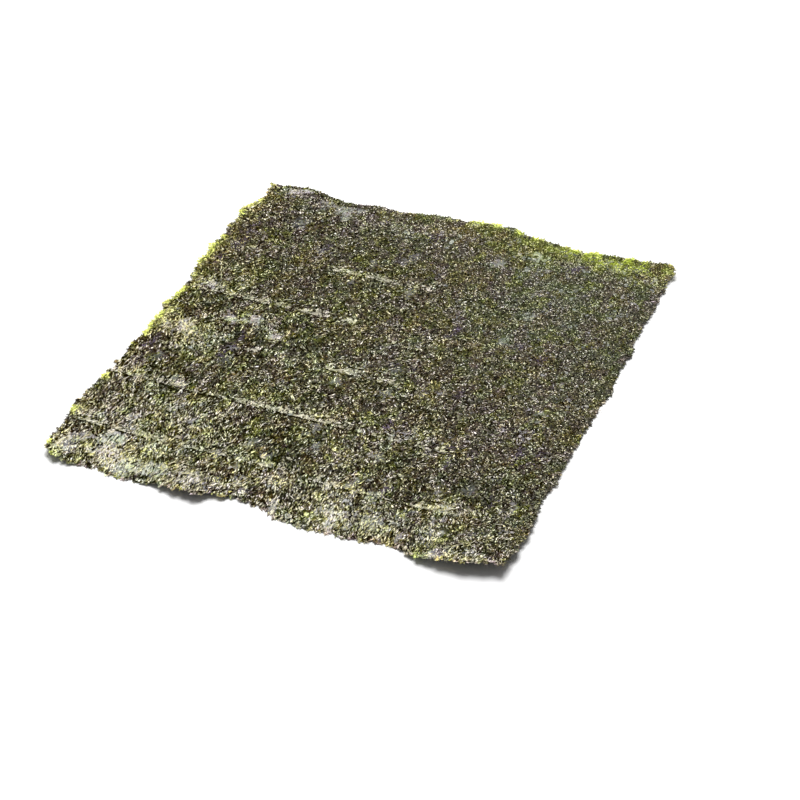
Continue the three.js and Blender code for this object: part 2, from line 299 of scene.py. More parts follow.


# --- Zones: where the sheet is pale, partly by painted sheen, green, purple, yellow, lit or bare ---

# Each zone: its middle, its reach along X and along Y, and its strength.
# Where more of the shreds are pale: partly the sheet's own pale scraps and partly painted sheen,
# strongest along the front edge and in the left middle.
PALE_ZONES = (
    # the front edge
    (-60, -92, 34, 13, 0.24), (-88, -96, 8, 8, 0.15), (-48, -102, 7, 4, 0.2),
    (-29, -99, 9, 6, 0.6), (44, -96, 34, 9, 0.4), (54, -98, 7, 5, -0.44), (54, -86, 7, 6, -0.09),
    (-6, -98, 7, 5, -0.26), (-42, -98, 6, 5, -0.27), (-88, -86, 6, 5, 0.08),
    (-66, -99, 8, 5, 0.12), (42, -99, 7, 5, 0.22), (65, -77, 11, 6, 0.36), (67, -98, 6, 6, 0.22),
    (88, -86, 7, 7, 0.2), (90, -100, 6, 5, -0.25), (34, -90, 14, 8, 0.18), (-78, -98, 8, 5, 0.12),
    (-38, -85, 10, 5, -0.26), (-18, -86, 7, 5, -0.08), (-18, -62, 7, 6, -0.13),
    (-1, -87, 8, 7, 0.4), (-54, -86, 8, 5, 0.22), (-75, -74, 10, 6, 0.26), (-78, -86, 7, 5, -0.16),
    (-74, -50, 12, 6, 0.24), (-42, -50, 8, 6, 0.12), (-30, -74, 8, 6, 0.12),
    (-66, -74, 8, 6, 0.14), (-91, -75, 6, 7, 0.32), (18, -87, 8, 6, 0.12), (-48, -72, 8, 6, 0.2),
    (-52, -61, 26, 8, 0.32), (16, -77, 8, 12, 0.22), (19, -62, 9, 7, 0.24),
    (30, -64, 50, 12, 0.06), (66, -62, 8, 8, -0.2), (30, -62, 8, 6, -0.15), (90, -62, 5, 7, 0.12),
    (78, -98, 6, 6, 0.12), (80, -84, 8, 6, 0.1),
    # the left middle
    (-70, -18, 16, 11, 0.28), (-93, -2, 6, 7, 0.36), (-78, -9, 12, 8, 0.35), (-58, 8, 11, 7, 0.2),
    (-43, -2, 6, 5, 0.18), (-30, -14, 6, 5, 0.25), (-64, 20, 12, 6, 0.12), (-66, 58, 9, 6, 0.1),
    (-66, -14, 8, 5, 0.22), (-54, -14, 6, 5, -0.26), (-54, -26, 7, 5, -0.12),
    (-66, 10, 7, 5, 0.13), (-78, 10, 7, 5, 0.06), (-90, 10, 5, 5, -0.08), (-91, 22, 5, 8, 0.1),
    (-91, 82, 5, 7, 0.15), (-90, -44, 6, 10, 0.12), (-78, -38, 8, 6, -0.1),
    (-90, -62, 5, 6, -0.14), (-90, 46, 5, 7, 0.12), (-30, -38, 8, 6, 0.1), (-84, 21, 9, 4, 0.2),
    (-88, -42, 10, 5, 0.2), (-90, -26, 6, 6, -0.15), (-55, -8, 4, 4, -0.3), (-54, -1, 5, 4, -0.1),
    (-25, 0, 4, 4, -0.3), (-31, -13, 2, 4, -0.25), (-50, 13, 4, 3, -0.2), (-58, -17, 2, 4, -0.3),
    (-24, -18, 3, 4, -0.2),
    # the rest
    (10, -32, 70, 14, 0.06), (-6, -42, 8, 4, 0.2), (6, -50, 8, 6, -0.12), (24, -50, 12, 6, 0.18),
    (54, -50, 8, 6, 0.14), (30, -14, 9, 6, 0.14), (42, -2, 8, 6, 0.08), (54, -2, 6, 6, -0.12),
    (18, -26, 7, 5, -0.14), (-18, -14, 6, 6, 0.13), (90, -2, 5, 7, 0.12), (6, -2, 7, 6, 0.12),
    (17, 21, 7, 5, 0.26), (0, 34, 8, 6, 0.08), (18, 46, 9, 6, 0.14), (-18, -26, 8, 6, 0.14),
    (-6, -26, 6, 5, -0.1), (-18, -38, 6, 5, -0.08), (-6, -74, 6, 5, -0.08), (-74, 32, 12, 7, 0.24),
    (-30, 60, 9, 5, -0.1), (-80, 101, 10, 4, 0.1), (-53, 96, 12, 5, -0.22), (-66, 82, 8, 6, -0.08),
    (-90, 70, 5, 6, -0.1), (54, 46, 9, 6, 0.14), (54, 94, 8, 6, 0.3), (54, 70, 7, 6, 0.14),
    (78, 82, 7, 6, 0.12), (42, 82, 7, 6, 0.14), (42, 58, 7, 6, 0.12), (-6, 22, 7, 6, 0.1),
    (66, -26, 7, 6, 0.1), (66, 22, 7, 6, -0.18), (-42, 94, 9, 6, 0.12), (-6, 82, 7, 6, 0.08),
    (-18, 70, 7, 6, -0.07), (18, 11, 8, 6, 0.12), (40, -42, 10, 4, 0.12), (-90, 82, 5, 10, 0.15),
    (-40, 96, 70, 9, 0.12), (0, 95, 40, 7, 0.16), (90, 94, 6, 6, 0.33), (68, 95, 7, 5, 0.1),
    (60, 80, 46, 34, 0.2), (80, 0, 20, 50, 0.1), (45, 20, 24, 20, 0.05), (50, -2, 40, 60, 0.03))
GREEN_ZONES = (
    (48, 107, 46, 7, 0.5), (76, 101, 13, 7, 0.5), (60, 96, 20, 10, 0.8), (60, 78, 40, 16, 0.15),
    (-40, -8, 40, 16, 0.25), (-30, -74, 34, 10, 0.2), (50, 60, 45, 30, 0.1),
    (-42, -82, 13, 13, 0.4), (-42, -26, 8, 8, 0.3), (-6, 10, 8, 8, 0.3), (66, -14, 8, 8, 0.4),
    (-66, 10, 10, 6, 0.3))
PURPLE_ZONES = (
    (50, -18, 44, 34, 0.25), (-87, 62, 4, 20, 0.5), (-88, -22, 4, 8, 1.0), (55, 90, 5, 4, 1.4),
    (-60, 96, 30, 8, 0.35), (-25, 75, 50, 16, 0.25), (-22, 95, 26, 9, 0.4), (-80, -96, 9, 9, 0.6),
    (-84, -55, 12, 14, 0.4), (52, -50, 16, 8, 0.2), (90, -38, 6, 10, 0.2), (-12, -74, 10, 8, 0.3),
    (-18, -26, 8, 8, 0.3), (24, -41, 1.4, 4, 1.5), (75, -40, 1.4, 4, 1.5), (84, -37, 1.2, 3, 1.5),
    (25, 30, 1.2, 4, 1.5), (63, 22, 2, 3, 1.2), (42, -11, 1.5, 4, 1.2), (-58, -17, 2, 4, 1.0),
    (-87, -38, 3, 4, 1.0), (-42, -84, 6, 6, -0.2), (40, -86, 8, 6, 0.2))
# Small streaks of purple weed.
STREAK_ZONES = (
    (-86, 62, 1.6, 12, 0.5), (-84, 51, 1.6, 5, 0.5), (-88, 40, 1.5, 5, 0.4), (-50, 66, 2, 4, 0.6),
    (-18, 73, 1.5, 4, 0.6), (-9, 87, 3, 4, 0.6), (55, 90, 4, 3.5, 0.8), (83, 97, 3, 4, 0.6),
    (64, 23, 1.6, 3, 0.9), (25, 30, 1.1, 4, 0.9), (53, 28, 2, 3, 0.6), (40, 58, 1.5, 3, 0.6),
    (89, 38, 2, 3, 0.5), (19, -2, 1.2, 3, 0.8), (11, -3, 2, 2, 0.6), (42, -11, 1.3, 3, 0.9),
    (24, -40, 1.1, 4, 0.9), (51, -45, 1.5, 2.5, 0.8), (54, -52, 1.3, 4, 0.8),
    (45, -50, 1.6, 2, 0.8), (76, -39, 1.2, 5, 1.0), (84, -37, 1.2, 3, 0.8), (38, -75, 2, 2.5, 0.6),
    (78, -68, 1.5, 3, 0.5), (-55, -9, 1.5, 5, 0.8), (-57, -20, 1.3, 4, 0.8), (-86, -39, 2, 3, 0.7),
    (-88, -22, 1.6, 5, 0.6))
# Where the sheet is yellower, or greyer.
WARM_ZONES = (
    (-93, 0, 6, 110, 0.35), (-92, 46, 6, 20, 1.3), (-92, -5, 7, 14, 1.1), (-92, 90, 7, 10, 1.3),
    (-91, -38, 5, 9, 0.5), (-92, -74, 5, 8, 0.5), (-78, -12, 10, 8, 0.8), (4, 96, 10, 8, 1.0),
    (6, -74, 7, 6, 0.4), (42, -86, 7, 6, -0.4), (-30, -26, 7, 6, 0.3), (45, 98, 48, 9, 0.6),
    (80, 99, 16, 9, 0.5), (-78, 94, 10, 8, -0.3), (-30, 92, 34, 10, -0.4), (54, 77, 12, 10, -0.4),
    (46, 53, 16, 14, -0.45), (90, 34, 6, 8, -0.3), (90, -26, 6, 8, 0.6), (78, -38, 8, 7, -0.4),
    (54, -2, 8, 8, -0.3), (-42, -2, 7, 6, 0.5), (-28, -3, 6, 6, -0.7), (54, -38, 8, 7, 0.5),
    (42, 82, 8, 6, 0.4), (-66, -15, 7, 6, -0.5), (-54, 10, 8, 6, 0.3), (-66, -2, 7, 6, -0.4),
    (-58, 50, 12, 12, 0.3), (6, -50, 8, 8, -0.3), (66, -62, 8, 8, -0.7), (-54, -74, 10, 8, 0.7),
    (-30, -74, 8, 8, 0.3), (-6, -86, 7, 6, 0.4), (30, -86, 8, 6, 0.4), (-54, -98, 12, 8, 0.2),
    (-70, -96, 9, 8, 0.2), (-42, -86, 8, 7, -0.5), (90, 82, 6, 7, -0.5), (30, 95, 10, 6, 0.5),
    (-42, 58, 9, 8, 0.4), (-42, 82, 8, 7, -0.4), (88, 94, 7, 7, 0.6), (-18, -98, 7, 6, -0.6),
    (48, -98, 14, 6, 0.6), (-68, -93, 20, 9, 0.35), (90, -98, 8, 8, -0.3))
# Where light comes through the thin edge.
GLOW_ZONES = (
    (-97, 62, 3, 44, 1.5), (-97, 46, 5, 12, 0.8), (-97, -8, 5, 9, 0.8), (-97, 8, 4.2, 24, 1.0),
    (-97, -25, 3, 8, 1.3), (-97, -54, 4, 6, 1.5), (-97, -72, 4, 7, 1.5), (-96, -98, 3, 7, 1.2),
    (70, 104, 12, 7, 1.6), (40, 108, 34, 6, 1.3), (8, 105, 8, 4, 0.5), (90, 101, 6, 6, 0.5))
# Where smooth bare membranes lie, and how surely.
BARE_ZONES = (
    (-87, -95, 7, 9, 0.8), (-69, -92, 9, 9, 0.9), (-60, -99, 9, 6, 0.9), (-45, -97, 8, 5, 0.9),
    (-72, -84, 6, 4, 0.6), (28, -96, 5, 6, 0.9), (10, -102, 6, 4, 0.8), (60, -79, 8, 4, 0.6),
    (68, -91, 4, 4, 0.6), (-64, 3, 6, 5, 0.8), (-55, 6, 4, 4, 0.8), (-79, -9, 8, 6, 0.8),
    (-43, -2, 4, 4, 0.8), (-29, -98, 6, 5, 0.7), (-84, 22, 9, 4, 0.8), (-55, -15, 5, 3, 0.6),
    (-47, -64, 7, 8, 0.4), (-80, 101, 9, 4, 0.9), (-55, 97, 8, 5, 0.9), (40, 92, 14, 6, 0.5))
# Where, besides the front edge, the scraps stand out in tone.
BOLD_ZONES = ((-65, -5, 42, 30, 0.5),)
# The stretches of press line behind which pale flakes and paler shreds paint a glint: the line's
# number, where the stretch starts and ends along X, and how full it is.
LINE_STRETCHES = (
    (4, -84, -74, 0.25), (4, -40, -14, 0.6), (4, -12, 4, 0.2), (3, -92, -68, 0.3),
    (3, -66, -46, 0.55), (3, -40, -28, 0.8), (3, -22, -16, 0.8), (2, -52, -44, 0.5),
    (2, -34, -26, 0.3), (2, -15, 1, 0.7), (2, 8, 17, 0.4), (1, -94, -62, 0.4), (1, -58, -40, 0.4),
    (1, -38, -14, 0.65), (1, -14, 4, 0.6), (1, 5, 16, 0.5), (1, 20, 32, 0.5), (1, 38, 50, 0.5),
    (0, -92, -70, 0.4), (0, -70, -40, 0.4), (0, -40, -2, 0.35), (0, 8, 22, 0.35),
    (0, 27, 38, 0.35), (0, 50, 72, 0.3))
# How far in from the front edge its looser, bolder look reaches.
FRONT_REACH = 30.0
# The scraps of seaweed, large and small, and the patches of the membranes: sizes along X and Y.
LARGE_SCRAPS = (4.8, 6.0)
SMALL_SCRAPS = (1.9, 2.4)
MEMBRANES = (4.6, 6.0)


def zoned(x0, y0, zones):
    """The sum of soft round zones, strength * exp(-(dx / reach)^2 - (dy / reach)^2)."""
    total = np.zeros_like(x0)
    for middle_x, middle_y, reach_x, reach_y, strength in zones:
        away = ((x0 - middle_x) / reach_x) ** 2 + ((y0 - middle_y) / reach_y) ** 2
        total += strength * np.exp(-away)
    return total


def frontness(y0):
    """From 1 along the front edge down to 0 inside, by an exponential."""
    return np.exp(-(y0 + HALF_DEPTH) / FRONT_REACH)


def boldness(x0, y0):
    """How strongly the scraps stand out in tone: most along the front edge, less in the left
    middle, hardly at all at the back."""
    return np.clip(0.06 + frontness(y0) + zoned(x0, y0, BOLD_ZONES), 0, 1)


def patched(x0, y0, seed):
    """From -1 to 1 and even over each scrap of seaweed: large scraps' values and small ones'."""
    large = scattered(*patch_of(x0, y0, *LARGE_SCRAPS, 51), seed)
    small = scattered(*patch_of(x0, y0, *SMALL_SCRAPS, 52), seed)
    return 0.6 * large + 0.4 * small


def tone_of(x0, y0):
    """Each scrap's own lightness, from -1 to 1."""
    return patched(x0, y0, 1)


def bareness(x0, y0):
    """1 on the smooth membranes and 0 elsewhere: where the zones and a few scattered patches, with
    frayed borders, come over a threshold."""
    patches = scattered(*patch_of(x0, y0, *MEMBRANES, 53), 1)
    fray = 0.3 * lattice_noise(x0, y0, 1.7, 2.2, 42) + 0.25 * lattice_noise(x0, y0, 4.5, 5, 43)
    level = zoned(x0, y0, BARE_ZONES) + 0.75 * (patches > 0.96 - 0.27 * frontness(y0))
    return 1.0 * (level + fray > 0.55)


def glow_of(x0, y0):
    """How much light comes through, from 0 to 1: the glow zones, broken up into tufts."""
    tufts = 0.6 + 1.5 * lattice_noise(x0, y0, 3.6, 4, 71)
    tufts = tufts + 0.7 * lattice_noise(x0, y0, 1.5, 1.8, 72)
    return np.clip(zoned(x0, y0, GLOW_ZONES) * tufts, 0, 1)


def strip_depth(x0, y0):
    """How deep, in millimetres, the pale strip of painted glint behind a press line is: noise along
    the line.
    """
    return 1.7 * (1 + 0.75 * lattice_noise(x0, nearest_line(y0), 5.5, 1, 63))


def strip_fill(x0, y0):
    """How much of the pale strip of painted glint there is, from 0 in its gaps to 1: noise of two
    sizes along the line."""
    along = lattice_noise(x0, nearest_line(y0), 3.1, 1, 64)
    return np.clip(0.7 + 0.7 * along + 0.4 * lattice_noise(x0, y0, 1.3, 1.5, 65), 0, 1)


def line_glint(x0, y0):
    """How pale the strip of painted glint behind each press line is: along each pale stretch it
    steps up just before the line and dies away exponentially behind it, with gaps, and its ends
    fade over 3 mm."""
    behind = y0 - nearest_line(y0)
    strip = (behind > -0.4) * np.exp(-np.maximum(behind, 0) / strip_depth(x0, y0))
    strip = strip * strip_fill(x0, y0)
    total = np.zeros_like(x0)
    for number, start, end, fill in LINE_STRETCHES:
        ends = np.clip(0.5 + (x0 - start) / 3, 0, 1) * np.clip(0.5 + (end - x0) / 3, 0, 1)
        total += (line_number(y0) == number) * fill * ends * strip
    return total


def paleness(x0, y0):
    """How many of the shreds are pale, from 0 to 1: the pale zones, partly painted sheen, the
    painted glint behind the lines, a painted sheen towards the front edge and painted light along
    its rim, and the places where light comes through on an even share, broken up in drifts and
    scraps."""
    drift = 0.25 * lattice_noise(x0, y0, 12, 16, 21) + 0.1 * lattice_noise(x0, y0, 2, 3, 24)
    drift = drift + 0.6 * tone_of(x0, y0)
    # Painted sheen: more pale shreds towards the front edge, and painted light along its rim, which
    # faces away from the lights.
    share = 0.22 + zoned(x0, y0, PALE_ZONES) + 0.1 * frontness(y0)
    share = share + 0.25 * np.exp(-(y0 + HALF_DEPTH) / 2.5)
    share = share + (0.5 + 0.2 * drift) * line_glint(x0, y0) + 0.8 * glow_of(x0, y0)
    return np.clip(share + 0.45 * boldness(x0, y0) * drift, 0.03, 1)


def lit_hue(x0):
    """The hue of the light that comes through: green, but yellower up to 27 mm from the left."""
    return 0.6 + 0.25 * np.clip((x0 + 88) / 20, 0, 1)


def hue_of(x0, y0):
    """From -1 where the sheet is purple-brown to 1 where it is green: the zones, drifts and
    scraps, and lit_hue where light comes through."""
    drift = 0.3 * lattice_noise(x0, y0, 16, 19, 31) + 1.1 * patched(x0, y0, 2)
    hue = np.clip(zoned(x0, y0, GREEN_ZONES) - zoned(x0, y0, PURPLE_ZONES) + drift, -1, 1)
    return hue + glow_of(x0, y0) * (lit_hue(x0) - hue)


def warmth_of(x0, y0):
    """From -1 where the sheet is slate grey to 1 where it is yellow: mostly each scrap's own, more
    so where it is green or light, and yellow, past 1, where light comes through."""
    own = 0.1 + 0.9 * patched(x0, y0, 3) + 0.2 * lattice_noise(x0, y0, 15, 15, 33)
    own = own + 0.2 * tone_of(x0, y0) + 0.35 * hue_of(x0, y0)
    warmth = np.clip(own + zoned(x0, y0, WARM_ZONES), -1, 1)
    return warmth + 1.3 * glow_of(x0, y0) * (1 - warmth)


# --- Mesh and material helpers ---

# Which inputs of a colour Mix node are its factor and two colours, and which output its result.
MIX_SOCKETS = (0, 6, 7)
MIX_RESULT = 2
# The kinds of socket of a node group.
VALUE = "NodeSocketFloat"
COLOUR = "NodeSocketColor"


def add_object(name, data):
    """An object of a mesh, camera or light, in the scene."""
    made = bpy.data.objects.new(name, data)
    bpy.context.scene.collection.objects.link(made)
    return made


def new_piece(name, points, faces, values=None, smooth=False):
    """Makes a mesh object from arrays: points in millimetres (n, 3), faces (m, 3 or 4), and one
    float attribute of the points for each entry of values."""
    mesh = bpy.data.meshes.new(name)
    mesh.vertices.add(len(points))
    mesh.vertices.foreach_set("co", (points * MM).astype(np.float32).ravel())
    mesh.loops.add(faces.size)
    mesh.loops.foreach_set("vertex_index", faces.astype(np.int32).ravel())
    mesh.polygons.add(len(faces))
    starts = np.arange(0, faces.size, faces.shape[1], dtype=np.int32)
    mesh.polygons.foreach_set("loop_start", starts)
    mesh.polygons.foreach_set("use_smooth", np.full(len(faces), smooth))
    mesh.update(calc_edges=True)
    for key, value in (values or {}).items():
        layer = mesh.attributes.new(key, "FLOAT", "POINT")
        layer.data.foreach_set("value", value.astype(np.float32).ravel())
    return add_object(name, mesh)


def finish_piece(piece, material):
    """Gives a piece its material and its place in the frame."""
    piece.data.materials.append(material)
    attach(piece, BODY)


def new_material(name, roughness, specular):
    """A material with a Principled BSDF, and the tree and shader to build on."""
    material = bpy.data.materials.new(name)
    material.use_nodes = True
    tree = material.node_tree
    shader = next(n for n in tree.nodes if n.type == "BSDF_PRINCIPLED")
    shader.inputs["Roughness"].default_value = roughness
    shader.inputs["Specular IOR Level"].default_value = specular
    return material, tree, shader


def add_node(tree, kind, inputs, **settings):
    """The outputs of a new node with the given settings, whose inputs, by name or number, are
    linked to sockets or set to numbers or colours."""
    made = tree.nodes.new("ShaderNode" + kind)
    for key, value in settings.items():
        setattr(made, key, value)
    for key, value in inputs.items():
        if isinstance(value, bpy.types.NodeSocket):
            tree.links.new(value, made.inputs[key])
        elif made.inputs[key].type == "RGBA":
            made.inputs[key].default_value = (*value, 1)
        else:
            made.inputs[key].default_value = value
    return made.outputs


def ramp(tree, factor, stops):
    """A colour ramp on a value, with stops of (place, colour)."""
    colour = add_node(tree, "ValToRGB", {"Fac": factor})["Color"]
    band = colour.node.color_ramp
    while len(band.elements) < len(stops):
        band.elements.new(0.5)
    for element, (place, stop) in zip(band.elements, stops):
        element.position = place
        element.color = (*stop, 1)
    return colour


def mix(tree, factor, first, second, blend="MIX"):
    """Mixes two colours, each a socket or a plain colour, by a socket or a number."""
    inputs = dict(zip(MIX_SOCKETS, (factor, first, second)))
    return add_node(tree, "Mix", inputs, data_type="RGBA", blend_type=blend)[MIX_RESULT]


def maths(tree, operation, *values, clamp=False):
    """A Math node on sockets or numbers."""
    inputs = dict(enumerate(values))
    return add_node(tree, "Math", inputs, operation=operation, use_clamp=clamp)[0]


def attribute(tree, name):
    """The value of a float attribute of the mesh."""
    return add_node(tree, "Attribute", {}, attribute_name=name)["Fac"]


def place_group(tree, group, **inputs):
    """The outputs of a node group placed in a material, with its own values for some inputs."""
    return add_node(tree, "Group", inputs, node_tree=bpy.data.node_groups[group])


def tinted(tree, colour):
    """A colour multiplied by the tint of the mesh's hue and warmth."""
    tint = place_group(tree, TINT, Hue=attribute(tree, "hue"), Warmth=attribute(tree, "warmth"))
    return mix(tree, 1.0, colour, tint["Tint"], "MULTIPLY")


def noise(tree, vector, scale, detail, roughness):
    """A Noise Texture's value from 0 to 1."""
    inputs = {"Vector": vector, "Scale": scale, "Detail": detail, "Roughness": roughness}
    return add_node(tree, "TexNoise", inputs)["Fac"]


def new_group(name, inputs, outputs):
    """A shader node group with inputs given by name and default and outputs given by name and
    kind of socket, and the sockets to build between."""
    tree = bpy.data.node_groups.new(name, "ShaderNodeTree")
    for key, default in inputs.items():
        kind = COLOUR if isinstance(default, tuple) else VALUE
        tree.interface.new_socket(key, in_out="INPUT", socket_type=kind).default_value = default
    for key, kind in outputs.items():
        tree.interface.new_socket(key, in_out="OUTPUT", socket_type=kind)
    entry, leave = tree.nodes.new("NodeGroupInput"), tree.nodes.new("NodeGroupOutput")
    return tree, entry.outputs, leave.inputs


# --- Shared effects ---

TINT = "Nori tint"
GRAIN = "Nori grain"
# How fine the noise is that the grain's direction wanders by, and its speckle, in cells per metre.
WANDER_SCALE = 240
SPECKLE_SCALE = 2200


def build_tint_group():
    """A colour to multiply by: from purple-brown at hue -1 to green at 1, and from slate grey at
    warmth -1 to yellow at 1."""
    tree, entry, leave = new_group(
        TINT,
        {"Hue": 0.0, "Warmth": 0.0, "Purple": (1.16, 0.9, 1.15, 1), "Green": (0.88, 1.11, 0.8, 1),
         "Slate": (0.92, 0.93, 1.2, 1), "Yellow": (1.15, 1.1, 0.35, 1)},
        {"Tint": COLOUR})

    def between(value, low, middle, high):
        """The low colour at -1, the middle one at 0 and the high one at 1."""
        below = maths(tree, "MULTIPLY", value, -1.0, clamp=True)
        above = maths(tree, "MAXIMUM", value, 0.0, clamp=True)
        return mix(tree, above, mix(tree, below, middle, low), high)

    hue = between(entry["Hue"], entry["Purple"], (1.01, 0.988, 1.0), entry["Green"])
    warmth = between(entry["Warmth"], entry["Slate"], (1, 1, 1), entry["Yellow"])
    tree.links.new(mix(tree, 1.0, hue, warmth, "MULTIPLY"), leave["Tint"])


def build_grain_group():
    """Fine shred grain, as a value from 0 to 1 and a height: noise drawn out along Y, whose
    direction wanders, over an even speckle. The inputs are in metres."""
    tree, entry, leave = new_group(
        GRAIN, {"Width": 0.0005, "Length": 0.0016, "Wander": 0.0012},
        {"Value": VALUE, "Height": VALUE})
    place = add_node(tree, "TexCoord", {})["Object"]
    wander = add_node(tree, "TexNoise", {"Vector": place, "Scale": WANDER_SCALE})["Color"]
    shifted = add_node(tree, "VectorMath", {0: wander, 1: entry["Wander"], 2: place},
                       operation="MULTIPLY_ADD")[0]
    parts = add_node(tree, "SeparateXYZ", {0: shifted})
    cells = {axis: maths(tree, "DIVIDE", parts[axis], entry[size])
             for axis, size in (("X", "Width"), ("Y", "Length"), ("Z", "Width"))}
    strokes = noise(tree, add_node(tree, "CombineXYZ", cells)[0], 1.0, 2.0, 0.6)
    speckle = noise(tree, place, SPECKLE_SCALE, 1.0, 0.5)
    joined = maths(tree, "MULTIPLY_ADD", speckle, 0.35, maths(tree, "MULTIPLY", strokes, 0.65))
    value = maths(tree, "MULTIPLY_ADD", maths(tree, "SUBTRACT", joined, 0.5), 3.2, 0.5, clamp=True)
    tree.links.new(value, leave["Value"])
    tree.links.new(joined, leave["Height"])


# --- The mat ---

class NoriMatSettings(bpy.types.PropertyGroup):
    """Mesh and colours of the mat"""
    cell: FloatProperty(
        name="Mesh cell", description="Spacing of the mat's grid in millimetres", default=0.94,
        min=0.5, max=5.0)
    # The gaps' near black is partly the dark weed and partly painted shade between the shreds.
    dark: FloatVectorProperty(
        name="Gaps", description="Colour of the dark mat between the shreds", subtype="COLOR",
        default=(0.004, 0.0035, 0.0015))
    olive: FloatVectorProperty(
        name="Mat", description="Colour of the packed shreds", subtype="COLOR",
        default=(0.018, 0.018, 0.007))
    straw: FloatVectorProperty(
        name="Highlights", description="Colour of the lightest shreds", subtype="COLOR",
        default=(0.14, 0.135, 0.07))
    # The membranes' grey is partly their own and partly painted sheen, the reflection of the white
    # surroundings.
    membrane: FloatVectorProperty(
        name="Membranes", description="Colour of the smooth bare membranes", subtype="COLOR",
        default=(0.42, 0.43, 0.36))
    edge_green: FloatVectorProperty(
        name="Thin edge", description="Colour where light comes through the thin rim",
        subtype="COLOR", default=(0.47, 0.6, 0.03))


def mat_surface(x0, y0):
    """The mat as one closed grid: the upper surface (x0, y0) -> (laid, underside + upper relief),
    the lower one (x0, y0) -> (laid, underside + lower relief), and a wall of quads between their
    rims, which share their plan."""
    x, y = laid(x0, y0)
    ground = underside(x, y)
    low = ground + lower_relief(x0, y0)
    high = ground + upper_relief(x0, y0)
    index = np.arange(x0.size).reshape(x0.shape)
    quads = np.stack([index[:-1, :-1], index[:-1, 1:], index[1:, 1:], index[1:, :-1]], -1)
    upper = quads.reshape(-1, 4)
    lower = upper[:, ::-1] + index.size
    rim = np.concatenate([index[0, :-1], index[:-1, -1], index[-1, :0:-1], index[:0:-1, 0]])
    after = np.roll(rim, -1)
    wall = np.stack([rim + index.size, after + index.size, after, rim], -1)
    points = np.concatenate([np.stack([x, y, high], -1).reshape(-1, 3),
                             np.stack([x, y, low], -1).reshape(-1, 3)])
    return points, np.concatenate([upper, lower, wall])


def mat_values(x0, y0):
    """What colours both surfaces of the mat: its hue and warmth, less of them on the membranes, the
    light that comes through, how light the membranes are, with painted sheen towards the front and
    where the sheet is pale, and where they are."""
    # Painted sheen: the membranes are lighter towards the front and where the sheet is pale.
    light = 0.17 + 0.6 * np.clip(zoned(x0, y0, BARE_ZONES), 0, 1) + 0.35 * frontness(y0)
    light = light + 1.2 * zoned(x0, y0, PALE_ZONES) + 0.15 * tone_of(x0, y0)
    bare = bareness(x0, y0)
    hue = hue_of(x0, y0) * (1 - 0.4 * bare)
    warmth = warmth_of(x0, y0) * (1 - 0.6 * bare) - 0.25 * bare
    values = {"hue": hue, "warmth": warmth, "glow": glow_of(x0, y0), "light": light, "bare": bare}
    return {key: np.tile(value.ravel(), 2) for key, value in values.items()}


def mat_material(settings):
    """Packed shreds: a dark ground, partly painted shade in the gaps, with olive and straw grain,
    bare membranes with a fainter grain and a grey that is partly painted sheen, tinted by hue and
    warmth, and a green glow where light comes through."""
    material, tree, shader = new_material("packed_nori", 0.55, 0.08)
    grain = place_group(tree, GRAIN)
    packed = ramp(tree, grain["Value"],
                  [(0.0, settings.dark), (0.45, settings.olive), (1.0, settings.straw)])
    crisp = place_group(tree, GRAIN, Width=0.00045, Length=0.0014, Wander=0.001)
    shade = maths(tree, "MULTIPLY_ADD", crisp["Value"], 1.1, 0.4)
    # The membranes' lightness, which carries their painted sheen.
    shade = maths(tree, "MULTIPLY", shade, attribute(tree, "light"))
    membrane = mix(tree, 1.0, settings.membrane, shade, "MULTIPLY")
    colour = tinted(tree, mix(tree, attribute(tree, "bare"), packed, membrane))
    shine = mix(tree, 1.0, settings.edge_green, shade, "MULTIPLY")
    colour = mix(tree, attribute(tree, "glow"), colour, shine)
    tree.links.new(colour, shader.inputs["Base Color"])
    bump = {"Strength": 0.7, "Distance": 0.0003, "Height": grain["Height"]}
    tree.links.new(add_node(tree, "Bump", bump)["Normal"], shader.inputs["Normal"])
    return material


class NORI_OT_build_mat(bpy.types.Operator):
    """Build the pressed mat in place of the plain solid"""
    bl_idname = "nori.build_mat"
    bl_label = "Build mat"

    def execute(self, context):
        settings = context.scene.nori_mat
        across = int(round(SHEET_WIDTH / settings.cell)) + 1
        along = int(round(SHEET_DEPTH / settings.cell)) + 1
        x0, y0 = np.meshgrid(np.linspace(-HALF_WIDTH, HALF_WIDTH, across),
                             np.linspace(-HALF_DEPTH, HALF_DEPTH, along))
        mat = new_piece("mat", *mat_surface(x0, y0), mat_values(x0, y0), smooth=True)
        finish_piece(mat, mat_material(settings))
        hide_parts(NODE)
        return {"FINISHED"}


# --- Shreds ---

class NoriShredSettings(bpy.types.PropertyGroup):
    """Numbers and sizes of the shreds"""
    fill: FloatProperty(
        name="Fill", description="How many of each kind's shreds are laid", subtype="FACTOR",
        default=1.0, min=0.01, max=1.0)
    length: FloatProperty(
        name="Length", description="Middle length of a shred in millimetres", default=1.1)
    width: FloatProperty(
        name="Width", description="Middle width of a shred in millimetres", default=0.37)
    swirl: FloatProperty(
        name="Swirl", description="How far a scrap's shreds lie from the sheet's depth",
        subtype="ANGLE", default=2.2)
    spread: FloatProperty(
        name="Spread", description="How far a scrap's shreds lie from each other", subtype="ANGLE",
        default=0.7)
    under_count: IntProperty(
        name="Underside shreds", description="How many shreds lie on the underside", default=30000)
    seed: IntProperty(name="Seed", description="Start of the random draws", default=7)


